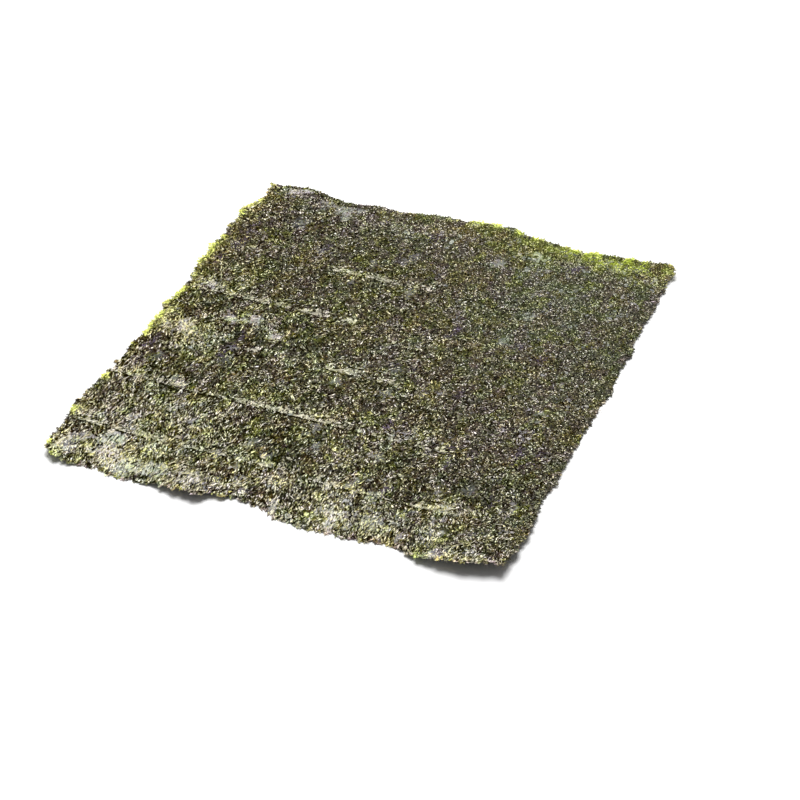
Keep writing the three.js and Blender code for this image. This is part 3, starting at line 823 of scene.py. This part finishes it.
# Each kind of loose shred: how many there are, how far it takes on purple, green, slate and yellow
# from its place, its colours from one end of its palette to the other, its roughness and specular
# level, its size against the middle one (length, width), the height of its ridge and the range
# that it is lifted by, in millimetres.
SHRED_KINDS = {
    # Dark shreds, purple-black: near black at their darkest, partly painted shade in the gaps
    # between the shreds.
    "dark_shreds": {
        "count": 49000, "tint": (1.6, 1.4, 1.4, 1.4),
        "palette": ((0.0, (0.003, 0.002, 0.0006)), (0.5, (0.007, 0.006, 0.0015)),
                    (0.7, (0.011, 0.011, 0.002)), (0.85, (0.022, 0.016, 0.009)),
                    (1.0, (0.04, 0.034, 0.015))),
        "finish": (0.6, 0.0), "size": (1.1, 1.5), "ridge": 0.1, "lift": (0.04, 0.25)},
    "grey_shreds": {
        "count": 44000, "tint": (1.3, 0.9, 1.1, 1.0),
        "palette": ((0.0, (0.036, 0.033, 0.021)), (0.3, (0.068, 0.062, 0.037)),
                    (0.6, (0.08, 0.079, 0.043)), (0.8, (0.125, 0.115, 0.077)),
                    (1.0, (0.2, 0.195, 0.135))),
        "finish": (0.45, 0.12), "size": (1.1, 1.4), "ridge": 0.08, "lift": (-0.02, 0.16)},
    "olive_shreds": {
        "count": 49000, "tint": (0.8, 0.9, 0.8, 0.9),
        "palette": ((0.0, (0.013, 0.012, 0.004)), (0.4, (0.045, 0.044, 0.013)),
                    (0.6, (0.135, 0.13, 0.04)), (0.8, (0.105, 0.085, 0.038)),
                    (1.0, (0.33, 0.31, 0.13))),
        "finish": (0.5, 0.1), "size": (0.95, 0.9), "ridge": 0.11, "lift": (0.0, 0.22)},
    # Straw shreds: partly the weed's own pale scraps and partly painted glints, with a palette that
    # runs up to near white.
    "straw_and_glint_shreds": {
        "count": 38000, "tint": (0.25, 0.4, 0.3, 0.5),
        "palette": ((0.0, (0.25, 0.24, 0.11)), (0.3, (0.52, 0.51, 0.31)),
                    (0.5, (0.7, 0.685, 0.47)), (0.7, (0.9, 0.875, 0.68)),
                    (1.0, (1.0, 0.98, 0.88))),
        "finish": (0.4, 0.3), "size": (1.05, 0.85), "ridge": 0.06, "lift": (0.02, 0.28)},
    "purple_shreds": {
        "count": 1200, "tint": (0.4, 0.2, 0.4, 0.2),
        "palette": ((0.0, (0.015, 0.01, 0.015)), (0.5, (0.05, 0.038, 0.054)),
                    (1.0, (0.12, 0.1, 0.13))),
        "finish": (0.5, 0.1), "size": (1.6, 1.2), "ridge": 0.06, "lift": (0.1, 0.26)},
}
# The four corners of a shred, a tip, a side, the other tip and the other side: where each is along
# and across it and how far up its ridge, and how far each may stray from there. The edge from tip
# to tip is the ridge, and the edge from side to side is the keel below.
ALONG, ALONG_STRAY = np.array([-0.5, 0.0, 0.5, 0.0]), (0.25, 0.5, 0.25, 0.5)
ACROSS, ACROSS_STRAY = np.array([0.0, 0.5, 0.0, -0.5]), 0.3
RISE, RISE_STRAY = np.array([1.0, 0.0, 1.0, 0.0]), 0.09
SHRED_FACES = np.array([(0, 1, 2), (0, 2, 3), (0, 3, 1), (2, 1, 3)])
# Where the corners lie in the shred's cell of the map, and a shred as its faces and these.
CELL_CORNERS = np.array([(-0.4, -0.4), (0.4, -0.4), (0.4, 0.4), (-0.4, 0.4)])
SHRED = (SHRED_FACES, CELL_CORNERS)
HANGING_SHRED = (SHRED_FACES[:, ::-1], CELL_CORNERS)
UNDER_PALETTE = ((0.0, (0.004, 0.003, 0.001)), (0.3, (0.012, 0.011, 0.003)),
                 (0.6, (0.06, 0.056, 0.022)), (0.8, (0.13, 0.125, 0.06)), (1.0, (0.6, 0.58, 0.4)))
# How far shreds keep from the sides of the rectangle, and from the table.
RIM_CLEARANCE = 0.3
TABLE_CLEARANCE = 0.02


def turned(x0, y0, u, v, turn):
    """The plan of many parts at once, (n, k) each: u along and v across each part, turned by its
    angle from Y, about where its place is laid."""
    cos, sin = np.cos(turn)[:, None], np.sin(turn)[:, None]
    x, y = laid(x0, y0)
    return x[:, None] + u * sin + v * cos, y[:, None] + u * cos - v * sin


def shred_points(rng, x0, y0, length, width, ridge, turn, lift):
    """Points of many shreds at once, (n, 4, 3): a blade folded along the edge between its tips,
    with its sides lower by the ridge, turned by an angle from Y and laid over the sheet, each point
    as high as the sheet under it and lifted by a draw from a range."""
    lift = rng.uniform(*lift, len(x0))
    draw = rng.uniform(-0.5, 0.5, (len(x0), 4, 3))
    along = ALONG + draw[:, :, 0] * ALONG_STRAY
    across = ACROSS + ACROSS_STRAY * draw[:, :, 1]
    rise = RISE * ridge[:, None] + RISE_STRAY * draw[:, :, 2]
    x, y = turned(x0, y0, along * length[:, None], across * width[:, None], turn)
    z = underside(x, y) + (upper_relief(x0, y0) + lift)[:, None] + rise
    return np.stack([x, y, z], -1)


def plain_shreds(rng, x0, y0, length, width, ridge, turn, spread, lift):
    """Points of many shreds at once, with lengths and widths drawn about middle ones, one height of
    ridge, and turns drawn about an angle with a spread."""
    count = len(x0)
    length = length * rng.lognormal(0, 0.35, count)
    width = width * rng.lognormal(0, 0.3, count)
    turn = turn + rng.normal(0, spread, count)
    return shred_points(rng, x0, y0, length, width, np.full(count, ridge), turn, lift)


def cell_map(mesh, count, corners, faces):
    """A map where each of many small parts has a square cell of its own in a grid, with its points
    at the given corners of the cell."""
    side = math.ceil(math.sqrt(count))
    cell = np.stack([np.arange(count) % side, np.arange(count) // side], -1)
    uv = (cell[:, None] + 0.5 + corners) / side
    layer = mesh.uv_layers.new(name="OFBake")
    layer.uv.foreach_set("vector", uv.reshape(-1, 2)[faces.ravel()].astype(np.float32).ravel())


def shred_material(name, palette, roughness, specular):
    """One colour for each shred, from its shade, tinted by its hue and warmth and streaked with
    grain."""
    material, tree, shader = new_material(name, roughness, specular)
    colour = tinted(tree, ramp(tree, attribute(tree, "shade"), palette))
    grain = place_group(tree, GRAIN, Width=0.0003, Length=0.0009, Wander=0.0005)
    streaks = maths(tree, "MULTIPLY_ADD", grain["Value"], 0.7, 0.66)
    tree.links.new(mix(tree, 1.0, colour, streaks, "MULTIPLY"), shader.inputs["Base Color"])
    return material


def lay_parts(name, points, part, values, *look):
    """One piece of many small parts of the same make: points (n, k, 3), the faces and map corners
    of one part, one number for each part in each of the values, and the palette, roughness and
    specular level of them all."""
    part_faces, corners = part
    count, size = points.shape[:2]
    faces = (part_faces + size * np.arange(count)[:, None, None]).reshape(-1, 3)
    spread = {key: np.repeat(value, size) for key, value in values.items()}
    piece = new_piece(name, points.reshape(-1, 3), faces, spread)
    cell_map(piece.data, count, corners, faces)
    finish_piece(piece, shred_material(name, *look))


def place_values(x0, y0, shade, share=1.0):
    """A shade for each part, and a share of the hue and warmth of its place."""
    return {"shade": shade, "hue": share * hue_of(x0, y0), "warmth": share * warmth_of(x0, y0)}


def scatter_places(rng, count, weight):
    """Random points of the rectangle, as dense as weight(x0, y0) says from 0 to 1, and none right
    at its rim."""
    kept = np.empty((0, 2))
    reach = (HALF_WIDTH - RIM_CLEARANCE, HALF_DEPTH - RIM_CLEARANCE)
    while len(kept) < count:
        tries = rng.uniform(-1, 1, (count, 2)) * reach
        chance = weight(tries[:, 0], tries[:, 1])
        kept = np.concatenate([kept, tries[rng.uniform(0, 1, count) < chance]])
    return kept[:count, 0], kept[:count, 1]


def combed(x0, y0):
    """How well the shreds are combed along Y, from 0 at the back right to 1 at the front left."""
    return np.clip(0.5 - 0.42 * y0 / HALF_DEPTH - 0.36 * x0 / HALF_WIDTH, 0, 1)


def dark_share(x0, y0):
    """Where the dark shreds are dense: where the sheet isn't pale, and more where it is combed."""
    return 1 - 0.8 * paleness(x0, y0) - 0.25 * (1 - combed(x0, y0))


def shred_weight(name):
    """Where a kind of shred is dense: straw shreds, partly painted glints, where the sheet is pale,
    dark where it isn't, grey towards the back right, olive everywhere, purple in streaks, and all
    less on the membranes."""
    share, cover = {
        "straw_and_glint_shreds": (paleness, 0.2),
        "dark_shreds": (dark_share, 0.8),
        "grey_shreds": (lambda x0, y0: 0.74 - 0.44 * combed(x0, y0), 0.7),
        "olive_shreds": (lambda x0, y0: 0.7 + 0.3 * lattice_noise(x0, y0, 8, 8, 25), 0.65),
        "purple_shreds": (lambda x0, y0: 0.002 + zoned(x0, y0, STREAK_ZONES), 0.3),
    }[name]
    return lambda x0, y0: share(x0, y0) * (1 - cover * bareness(x0, y0))


def shred_turns(rng, x0, y0, settings):
    """How far each shred is turned from Y: its scrap's swirl and its own spread, both less where
    the sheet is combed or near the front, where also fewer shreds lie across the others."""
    along = np.clip(combed(x0, y0) + 0.45 * frontness(y0), 0, 1)
    turn = settings.swirl * (1.2 - 0.97 * along) * patched(x0, y0, 4)
    turn = turn + settings.spread * (1.1 - 0.6 * along) * rng.normal(0, 1, len(x0))
    return turn + np.pi / 2 * (rng.uniform(0, 1, len(x0)) < 0.35 * (1 - along))


def shred_values(rng, x0, y0, tint):
    """The shade, hue and warmth of each shred: its place's with its own added, hue and warmth as
    far as its kind takes them on, and towards those of the light where light comes through."""
    purple, green, slate, yellow = tint
    glow = glow_of(x0, y0)
    hue = hue_of(x0, y0) + rng.normal(0, 0.35, len(x0))
    hue = hue * np.where(hue < 0, purple, green)
    warmth = warmth_of(x0, y0) + rng.normal(0, 0.3, len(x0))
    warmth = warmth * np.where(warmth < 0, slate, yellow)
    tone = 0.35 * boldness(x0, y0) * tone_of(x0, y0)
    shade = np.clip(rng.uniform(0, 1, len(x0)) + tone, 0, 1)
    return {"shade": shade * (1 - 0.1 * glow), "hue": hue + glow * (lit_hue(x0) - hue),
            "warmth": warmth + 1.2 * glow * (1 - warmth)}


class NORI_OT_scatter_shreds(bpy.types.Operator):
    """Lay the loose shreds of one kind on the sheet"""
    bl_idname = "nori.scatter_shreds"
    bl_label = "Scatter shreds"

    kind: EnumProperty(
        name="Kind", description="Which shreds to lay",
        items=[(name, name.replace("_", " ").capitalize(), "Lay the " + name.replace("_", " "))
               for name in SHRED_KINDS])

    def execute(self, context):
        settings = context.scene.nori_shreds
        kind = SHRED_KINDS[self.kind]
        rng = np.random.default_rng(settings.seed + list(SHRED_KINDS).index(self.kind))
        count = int(kind["count"] * settings.fill)
        x0, y0 = scatter_places(rng, count, shred_weight(self.kind))
        comb = combed(x0, y0)
        long, wide = kind["size"]
        length = long * settings.length * (0.5 + 0.9 * comb) * rng.lognormal(0, 0.4, count)
        width = wide * settings.width * (0.78 + 0.26 * comb) * rng.lognormal(0, 0.35, count)
        ridge = kind["ridge"] * rng.uniform(0.5, 1.5, count)
        turn = shred_turns(rng, x0, y0, settings)
        points = shred_points(rng, x0, y0, length, width, ridge, turn, kind["lift"])
        values = shred_values(rng, x0, y0, kind["tint"])
        lay_parts(self.kind, points, SHRED, values, kind["palette"], *kind["finish"])
        return {"FINISHED"}


def hang(points, x0, y0):
    """Shreds laid on top, (n, 4, 3), hung under the sheet instead: each keeps its plan, and its
    heights over its place become depths, shrunk where the sheet is near the table."""
    x, y = points[:, :, 0], points[:, :, 1]
    low = underside(x, y) + lower_relief(x0, y0)[:, None]
    above = points[:, :, 2] - underside(x, y) - upper_relief(x0, y0)[:, None]
    room = np.clip((low - TABLE_CLEARANCE) / 0.4, 0, 1)
    return np.stack([x, y, low - room * above], -1)


class NORI_OT_line_underside(bpy.types.Operator):
    """Lay shreds over the underside, where it is crinkled up off its level"""
    bl_idname = "nori.line_underside"
    bl_label = "Line underside"

    def execute(self, context):
        settings = context.scene.nori_shreds
        rng = np.random.default_rng(settings.seed + len(SHRED_KINDS))
        count = int(settings.under_count * settings.fill)
        x0, y0 = scatter_places(rng, count, lambda x0, y0: 1.0 * (crackle(x0, y0) > 0.08))
        points = plain_shreds(
            rng, x0, y0, length=1.5 * settings.length, width=1.6 * settings.width, ridge=0.1,
            turn=settings.swirl * patched(x0, y0, 4), spread=settings.spread, lift=(-0.04, 0.14))
        shade = np.clip(rng.uniform(0, 1, count) + 0.1 * tone_of(x0, y0), 0, 1)
        lay_parts("under_shreds", hang(points, x0, y0), HANGING_SHRED,
                  place_values(x0, y0, shade), UNDER_PALETTE, 0.5, 0.1)
        return {"FINISHED"}


# --- Flakes: thin smooth scraps that lie flat among the shreds, and the press lines' painted glint and shade ---

class NoriFlakeSettings(bpy.types.PropertyGroup):
    """Numbers and sizes of the flakes and of what lies along the press lines"""
    count: IntProperty(
        name="Silver flakes", description="How many smooth flakes lie on the sheet", default=1400)
    radius: FloatProperty(
        name="Radius", description="Middle radius of a flake in millimetres", default=0.85)
    # The line flakes are pale flakes of painted glint behind the press lines.
    line_count: IntProperty(
        name="Line flakes", description="How many pale flakes lie along the press lines",
        default=1750)
    # The crease shreds are dark shreds of painted shade in the press lines.
    crease_count: IntProperty(
        name="Crease shreds", description="How many dark shreds lie in the press lines",
        default=560)
    seed: IntProperty(name="Seed", description="Start of the random draws", default=31)


FLAKE_CORNERS = 9
# How far the upper and the lower middle of a flake are over its rim, and how far the rim may stray.
FLAKE_MIDDLES = (0.04, -0.02)
FLAKE_STRAY = 0.05
# How far in from the sides of the rectangle the silver flakes start.
FLAKE_CLEARANCE = 3.0
# The silver flakes' grey is partly their own and partly painted sheen.
FLAKE_PALETTE = ((0.0, (0.05, 0.05, 0.055)), (0.5, (0.12, 0.125, 0.11)), (1.0, (0.26, 0.27, 0.24)))
# The pale flakes behind the press lines: a painted glint.
LINE_PALETTE = ((0.0, (0.12, 0.12, 0.07)), (0.5, (0.34, 0.33, 0.23)), (0.85, (0.55, 0.54, 0.42)),
                (1.0, (0.7, 0.68, 0.56)))
# The stretches of crease where dark shreds paint the shade in the crease: the line's number, its
# start and end along X, and how full it is.
CREASE_STRETCHES = (
    (1, -93, -2, 0.9), (1, 0, 58, 0.3), (0, -94, -30, 0.7), (0, 20, 75, 0.3), (2, 20, 70, 0.3),
    (3, -92, -50, 0.4), (4, 10, 60, 0.15))


def fan_faces(corners):
    """Faces of a flat closed disc: a fan round the upper middle, point n, and one round the lower
    middle, point n + 1."""
    rim = np.arange(corners)
    after = np.roll(rim, -1)
    upper = np.stack([np.full(corners, corners), rim, after], -1)
    lower = np.stack([np.full(corners, corners + 1), after, rim], -1)
    return np.concatenate([upper, lower])


def fan_corners(corners):
    """Where a disc's points lie in its map cell: the rim on a circle round the middle."""
    angle = 2 * np.pi * np.arange(corners) / corners
    rim = 0.42 * np.stack([np.cos(angle), np.sin(angle)], -1)
    return np.concatenate([rim, np.zeros((2, 2))])


FLAKE = (fan_faces(FLAKE_CORNERS), fan_corners(FLAKE_CORNERS))


def flake_points(rng, x0, y0, radius, stretch, turn, spread, lift):
    """Points of many flakes at once, (n, k + 2, 3): a ragged disc drawn out along its turn, laid
    over the sheet, raised in the middle and thin at the rim. The stretch and the lift are drawn
    from ranges, and the turn about an angle with a spread."""
    count = len(x0)
    stretch = rng.uniform(*stretch, count)
    turn = turn + rng.normal(0, spread, count)
    lift = rng.uniform(*lift, count)
    angle = 2 * np.pi * (np.arange(FLAKE_CORNERS) + rng.uniform(-0.3, 0.3, (count, FLAKE_CORNERS)))
    angle = angle / FLAKE_CORNERS
    reach = radius[:, None] * rng.uniform(0.6, 1.3, (count, FLAKE_CORNERS))
    u = np.concatenate([reach * np.sin(angle), np.zeros((count, 2))], 1) * stretch[:, None]
    v = np.concatenate([reach * np.cos(angle), np.zeros((count, 2))], 1)
    x, y = turned(x0, y0, u, v, turn)
    thick = np.append(np.zeros(FLAKE_CORNERS), FLAKE_MIDDLES)
    z = underside(x, y) + upper_relief(x0, y0)[:, None] + lift[:, None] + thick
    z += rng.uniform(-FLAKE_STRAY, FLAKE_STRAY, z.shape) * (thick == 0)
    return np.stack([x, y, z], -1)


class NORI_OT_lay_flakes(bpy.types.Operator):
    """Lay the smooth silver flakes, most of them where the sheet is pale"""
    bl_idname = "nori.lay_flakes"
    bl_label = "Lay silver flakes"

    def execute(self, context):
        settings = context.scene.nori_flakes
        rng = np.random.default_rng(settings.seed)
        count = settings.count

        def weight(x0, y0):
            """Dense where the sheet is pale, in clumps, and none near the rim."""
            clump = lattice_noise(x0, y0, 5, 6, 41)
            dense = np.clip(1.5 * (paleness(x0, y0) - 0.4) + 0.5 * clump, 0.01, 1)
            return dense * (edge_distance(x0, y0) > FLAKE_CLEARANCE)

        x0, y0 = scatter_places(rng, count, weight)
        pale = np.clip(2 * paleness(x0, y0), 0, 1)
        radius = settings.radius * rng.lognormal(0, 0.3, count) * (0.4 + 0.5 * pale)
        radius = radius * (0.8 + 0.4 * frontness(y0))
        points = flake_points(rng, x0, y0, radius, stretch=(0.9, 1.8), turn=0, spread=0.7,
                              lift=(0.04, 0.2))
        values = place_values(x0, y0, rng.uniform(0, 1, count), 0.5)
        lay_parts("silver_flakes", points, FLAKE, values, FLAKE_PALETTE, 0.4, 0.35)
        return {"FINISHED"}


def along_lines(rng, count, stretches):
    """Places scattered along stretches of press line: the place along X and the line's own Y."""
    line, start, end, fill = np.array(stretches).T
    share = (end - start) * fill
    pick = rng.choice(len(line), count, p=share / share.sum())
    x0 = start[pick] + (end - start)[pick] * rng.uniform(0, 1, count)
    return x0, line_place(line[pick])


class NORI_OT_mark_lines(bpy.types.Operator):
    """Lay the pale flakes of painted glint behind the press lines and the dark shreds of painted
    shade in their creases
    """
    bl_idname = "nori.mark_lines"
    bl_label = "Mark press lines"

    def lay_pale(self, rng, count):
        """Lays the pale flakes of painted glint across the lines, fewer the farther behind them,
        and leaves out those in the gaps of the strip"""
        x0, y0 = along_lines(rng, count, LINE_STRETCHES)
        y0 = y0 - 0.1 + 0.6 * strip_depth(x0, y0) * rng.gamma(1.2, 1.0, count)
        keep = strip_fill(x0, y0) > rng.uniform(0, 1, count)
        x0, y0 = x0[keep], y0[keep]
        count = len(x0)
        radius = np.minimum(0.39 * rng.lognormal(0, 0.4, count), 0.7)
        points = flake_points(rng, x0, y0, radius, stretch=(1.0, 2.2), turn=math.pi / 2,
                              spread=0.6, lift=(0.12, 0.3))
        values = place_values(x0, y0, rng.uniform(0.15, 0.95, count), 0.3)
        lay_parts("line_glint_flakes", points, FLAKE, values, LINE_PALETTE, 0.45, 0.2)

    def lay_dark(self, rng, count):
        """Lays long dark shreds, painted shade, along the creases, just in front of the lines"""
        x0, y0 = along_lines(rng, count, CREASE_STRETCHES)
        y0 = y0 + rng.normal(-0.8, 0.26, count)
        points = plain_shreds(rng, x0, y0, length=2.0, width=0.5, ridge=0.05, turn=math.pi / 2,
                              spread=0.15, lift=(0.16, 0.28))
        values = place_values(x0, y0, rng.uniform(0, 0.8, count))
        dark = SHRED_KINDS["dark_shreds"]
        lay_parts("crease_shade_shreds", points, SHRED, values, dark["palette"], *dark["finish"])

    def execute(self, context):
        settings = context.scene.nori_flakes
        rng = np.random.default_rng(settings.seed + 1)
        self.lay_pale(rng, settings.line_count)
        self.lay_dark(rng, settings.crease_count)
        return {"FINISHED"}


# --- The fringe ---

class NoriFringeSettings(bpy.types.PropertyGroup):
    """Number and reach of the shreds round the rim"""
    count: IntProperty(
        name="Fringe shreds", description="How many shreds stick out round the rim", default=9000)
    reach: FloatProperty(
        name="Reach", description="How far the longest stand out, in millimetres", default=0.5)
    seed: IntProperty(name="Seed", description="Start of the random draws", default=57)


FRINGE_PALETTE = ((0.0, (0.006, 0.005, 0.003)), (0.3, (0.04, 0.036, 0.018)),
                  (0.5, (0.14, 0.13, 0.07)), (0.75, (0.4, 0.38, 0.25)), (1.0, (0.8, 0.78, 0.6)))
# The corners of the rectangle, from the front left one round to it again, counter-clockwise, the
# distance to each, and the angle from Y of the way out of the side after each.
CORNERS_X = (-HALF_WIDTH, HALF_WIDTH, HALF_WIDTH, -HALF_WIDTH, -HALF_WIDTH)
CORNERS_Y = (-HALF_DEPTH, -HALF_DEPTH, HALF_DEPTH, HALF_DEPTH, -HALF_DEPTH)
CORNER_STOPS = np.cumsum([0, SHEET_WIDTH, SHEET_DEPTH, SHEET_WIDTH, SHEET_DEPTH])
WAYS_OUT = np.array([math.pi, math.pi / 2, 0, -math.pi / 2])


def rim_place(distance):
    """The point of the rectangle's rim at a distance from the front left corner,
    counter-clockwise, and the angle from Y of the way out there."""
    side = np.searchsorted(CORNER_STOPS, distance, side="right") - 1
    return (np.interp(distance, CORNER_STOPS, CORNERS_X),
            np.interp(distance, CORNER_STOPS, CORNERS_Y), WAYS_OUT[np.clip(side, 0, 3)])


class NORI_OT_fringe_rim(bpy.types.Operator):
    """Stand loose shreds out round the rim in tufts, farther out where light comes through"""
    bl_idname = "nori.fringe_rim"
    bl_label = "Fringe rim"

    def execute(self, context):
        settings = context.scene.nori_fringe
        rng = np.random.default_rng(settings.seed)
        count = settings.count
        distance = rng.uniform(0, CORNER_STOPS[-1], count)
        x0, y0, out = rim_place(distance)
        glow = glow_of(x0, y0)
        tuft = lattice_noise(distance, np.zeros(count), 3.2, 1, 58)
        stand = settings.reach * (1 + 0.9 * tuft + 1.2 * glow) + rng.uniform(-2.5, 0, count)
        points = plain_shreds(rng, x0, y0, length=1.4, width=0.42, ridge=0.1, turn=out,
                              spread=0.6, lift=(-0.3, 0.16))
        shift = np.stack([np.sin(out), np.cos(out)], -1) * stand[:, None]
        points[:, :, :2] += shift[:, None]
        # Nothing goes under the table: what would lies just over it, and the rest a bit higher.
        height = points[:, :, 2]
        points[:, :, 2] = np.maximum(height, TABLE_CLEARANCE + 0.1 * (height > 0))
        # Painted light: the fringe on the front edge, which faces away from the lights, is made
        # lighter by 0.2.
        shade = 0.2 + 0.45 * paleness(x0, y0) + 0.35 * glow + 0.2 * (y0 < 0.1 - HALF_DEPTH)
        shade = np.clip(shade + 0.25 * rng.normal(0, 1, count), 0, 1)
        values = {"shade": shade, "hue": hue_of(x0, y0) + rng.normal(0, 0.2, count),
                  "warmth": warmth_of(x0, y0) + rng.normal(0, 0.2, count)}
        lay_parts("rim_fringe", points, SHRED, values, FRINGE_PALETTE, 0.5, 0.2)
        return {"FINISHED"}


# --- The stage ---

class NoriStageSettings(bpy.types.PropertyGroup):
    """Camera, table and lights"""
    azimuth: FloatProperty(
        name="Camera azimuth", description="How far the camera stands to the right of the front",
        subtype="ANGLE", default=math.radians(23.24))
    elevation: FloatProperty(
        name="Camera elevation", description="How far the camera looks down", subtype="ANGLE",
        default=math.radians(37.11))
    roll: FloatProperty(
        name="Camera roll", description="How far the camera leans", subtype="ANGLE",
        default=math.radians(-0.95))
    distance: FloatProperty(
        name="Camera distance", description="From the camera to the point it looks at",
        unit="LENGTH", default=0.7788)
    lens: FloatProperty(
        name="Lens", description="Focal length in millimetres on a 36 mm frame", unit="CAMERA",
        default=90.0)
    floor: FloatVectorProperty(
        name="Floor", description="Colour of the table", subtype="COLOR",
        default=(0.93, 0.93, 0.93))
    key_power: FloatProperty(
        name="Key light", description="Power of the large soft light in watts", unit="POWER",
        default=19.6)
    rim_power: FloatProperty(
        name="Rim light", description="Power of the low light behind, in watts", unit="POWER",
        default=4.0)
    fill: FloatProperty(
        name="Fill light", description="Strength of the even white surroundings", subtype="FACTOR",
        default=0.2, min=0.0, max=1.0)


# The point looked at, from the middle of the sheet's place on the table, in metres.
LOOK_OFFSET = Vector((0.0229, -0.0259, 0.003))
SENSOR_WIDTH = 36
CLIP_START = 0.01
FLOOR_SIZE = 6.0
FLOOR_GAP = 0.0001


def facing(direction):
    """The turn that points a camera or a light, which look along -Z, in a direction."""
    return direction.to_track_quat("-Z", "Y").to_matrix()


def place_camera(settings):
    """Stands the camera off along its azimuth and elevation, and leans it by its roll."""
    target = Vector((0, 0, CAD_BOX[0][2])) + LOOK_OFFSET
    flat = math.cos(settings.elevation)
    away = Vector((math.sin(settings.azimuth) * flat, -math.cos(settings.azimuth) * flat,
                   math.sin(settings.elevation)))
    data = bpy.data.cameras.new("camera")
    data.lens = settings.lens
    data.sensor_width = SENSOR_WIDTH
    data.clip_start = CLIP_START
    camera = add_object("camera", data)
    turn = Matrix.Rotation(settings.roll, 3, away) @ facing(-away)
    camera.matrix_world = Matrix.Translation(target + away * settings.distance) @ turn.to_4x4()
    bpy.context.scene.camera = camera


def place_floor(settings):
    """A wide flat table just under the sheet."""
    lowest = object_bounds()[0][2]
    half = FLOOR_SIZE / 2
    corners = np.array([(-half, -half), (half, -half), (half, half), (-half, half)]) / MM
    points = np.column_stack([corners, np.full(4, (lowest - FLOOR_GAP) / MM)])
    floor = new_piece("floor", points, np.array([(0, 1, 2, 3)]))
    material, _, shader = new_material("floor", 0.9, 0.2)
    shader.inputs["Base Color"].default_value = (*settings.floor, 1)
    floor.data.materials.append(material)
    floor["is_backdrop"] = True


def add_area_light(name, place, power, size):
    """A square area light at a place in metres, turned to the middle of the sheet."""
    data = bpy.data.lights.new(name, "AREA")
    data.energy = power
    data.size = size
    light = add_object(name, data)
    light.matrix_world = Matrix.Translation(place) @ facing(-Vector(place)).to_4x4()


def light_stage(settings):
    """Even white surroundings, one large soft light above and behind, and a smaller one low behind
    on the left, which the flat glossy shreds reflect."""
    world = bpy.data.worlds.new("surroundings")
    world.use_nodes = True
    background = next(n for n in world.node_tree.nodes if n.type == "BACKGROUND")
    background.inputs["Color"].default_value = (1, 1, 1, 1)
    background.inputs["Strength"].default_value = settings.fill
    bpy.context.scene.world = world
    add_area_light("key_light", (-0.15, 0.4, 1.0), settings.key_power, 0.8)
    add_area_light("rim_light", (-0.62, 0.65, 0.78), settings.rim_power, 0.3)


class NORI_OT_set_stage(bpy.types.Operator):
    """Set the camera, the table and the lights"""
    bl_idname = "nori.set_stage"
    bl_label = "Set stage"

    def execute(self, context):
        settings = context.scene.nori_stage
        place_camera(settings)
        place_floor(settings)
        light_stage(settings)
        context.scene.view_settings.view_transform = "Standard"
        return {"FINISHED"}


# --- The add-on ---

OPERATORS = (NORI_OT_build_mat, NORI_OT_scatter_shreds, NORI_OT_line_underside,
             NORI_OT_lay_flakes, NORI_OT_mark_lines, NORI_OT_fringe_rim, NORI_OT_set_stage)


class NORI_PT_panel(bpy.types.Panel):
    """Sizes, colours and pieces of the sheet"""
    bl_idname = "NORI_PT_panel"
    bl_label = "Roasted nori sheet"
    bl_space_type = "VIEW_3D"
    bl_region_type = "UI"
    bl_category = "Nori"

    def draw(self, context):
        for name in SETTINGS:
            settings = getattr(context.scene, name)
            box = self.layout.box()
            box.label(text=name.replace("_", " ").capitalize())
            for key in settings.bl_rna.properties.keys():
                if key not in ("rna_type", "name"):
                    box.prop(settings, key)
        for operator in OPERATORS:
            self.layout.operator(operator.bl_idname)


SETTINGS = {"nori_mat": NoriMatSettings, "nori_shreds": NoriShredSettings,
            "nori_flakes": NoriFlakeSettings, "nori_fringe": NoriFringeSettings,
            "nori_stage": NoriStageSettings}
CLASSES = (*SETTINGS.values(), *OPERATORS, NORI_PT_panel)


def register():
    """Registers the classes and gives the scene its settings."""
    for cls in CLASSES:
        bpy.utils.register_class(cls)
    for name, group in SETTINGS.items():
        setattr(bpy.types.Scene, name, PointerProperty(type=group))


def unregister():
    """Takes away the settings and the classes."""
    for name in SETTINGS:
        delattr(bpy.types.Scene, name)
    for cls in reversed(CLASSES):
        bpy.utils.unregister_class(cls)


def main():
    """Builds the stage and the sheet, piece by piece."""
    register()
    build_tint_group()
    build_grain_group()
    bpy.ops.nori.set_stage()
    bpy.ops.nori.build_mat()
    for kind in SHRED_KINDS:
        bpy.ops.nori.scatter_shreds(kind=kind)
    bpy.ops.nori.line_underside()
    bpy.ops.nori.lay_flakes()
    bpy.ops.nori.mark_lines()
    bpy.ops.nori.fringe_rim()


if __name__ == "__main__":
    main()
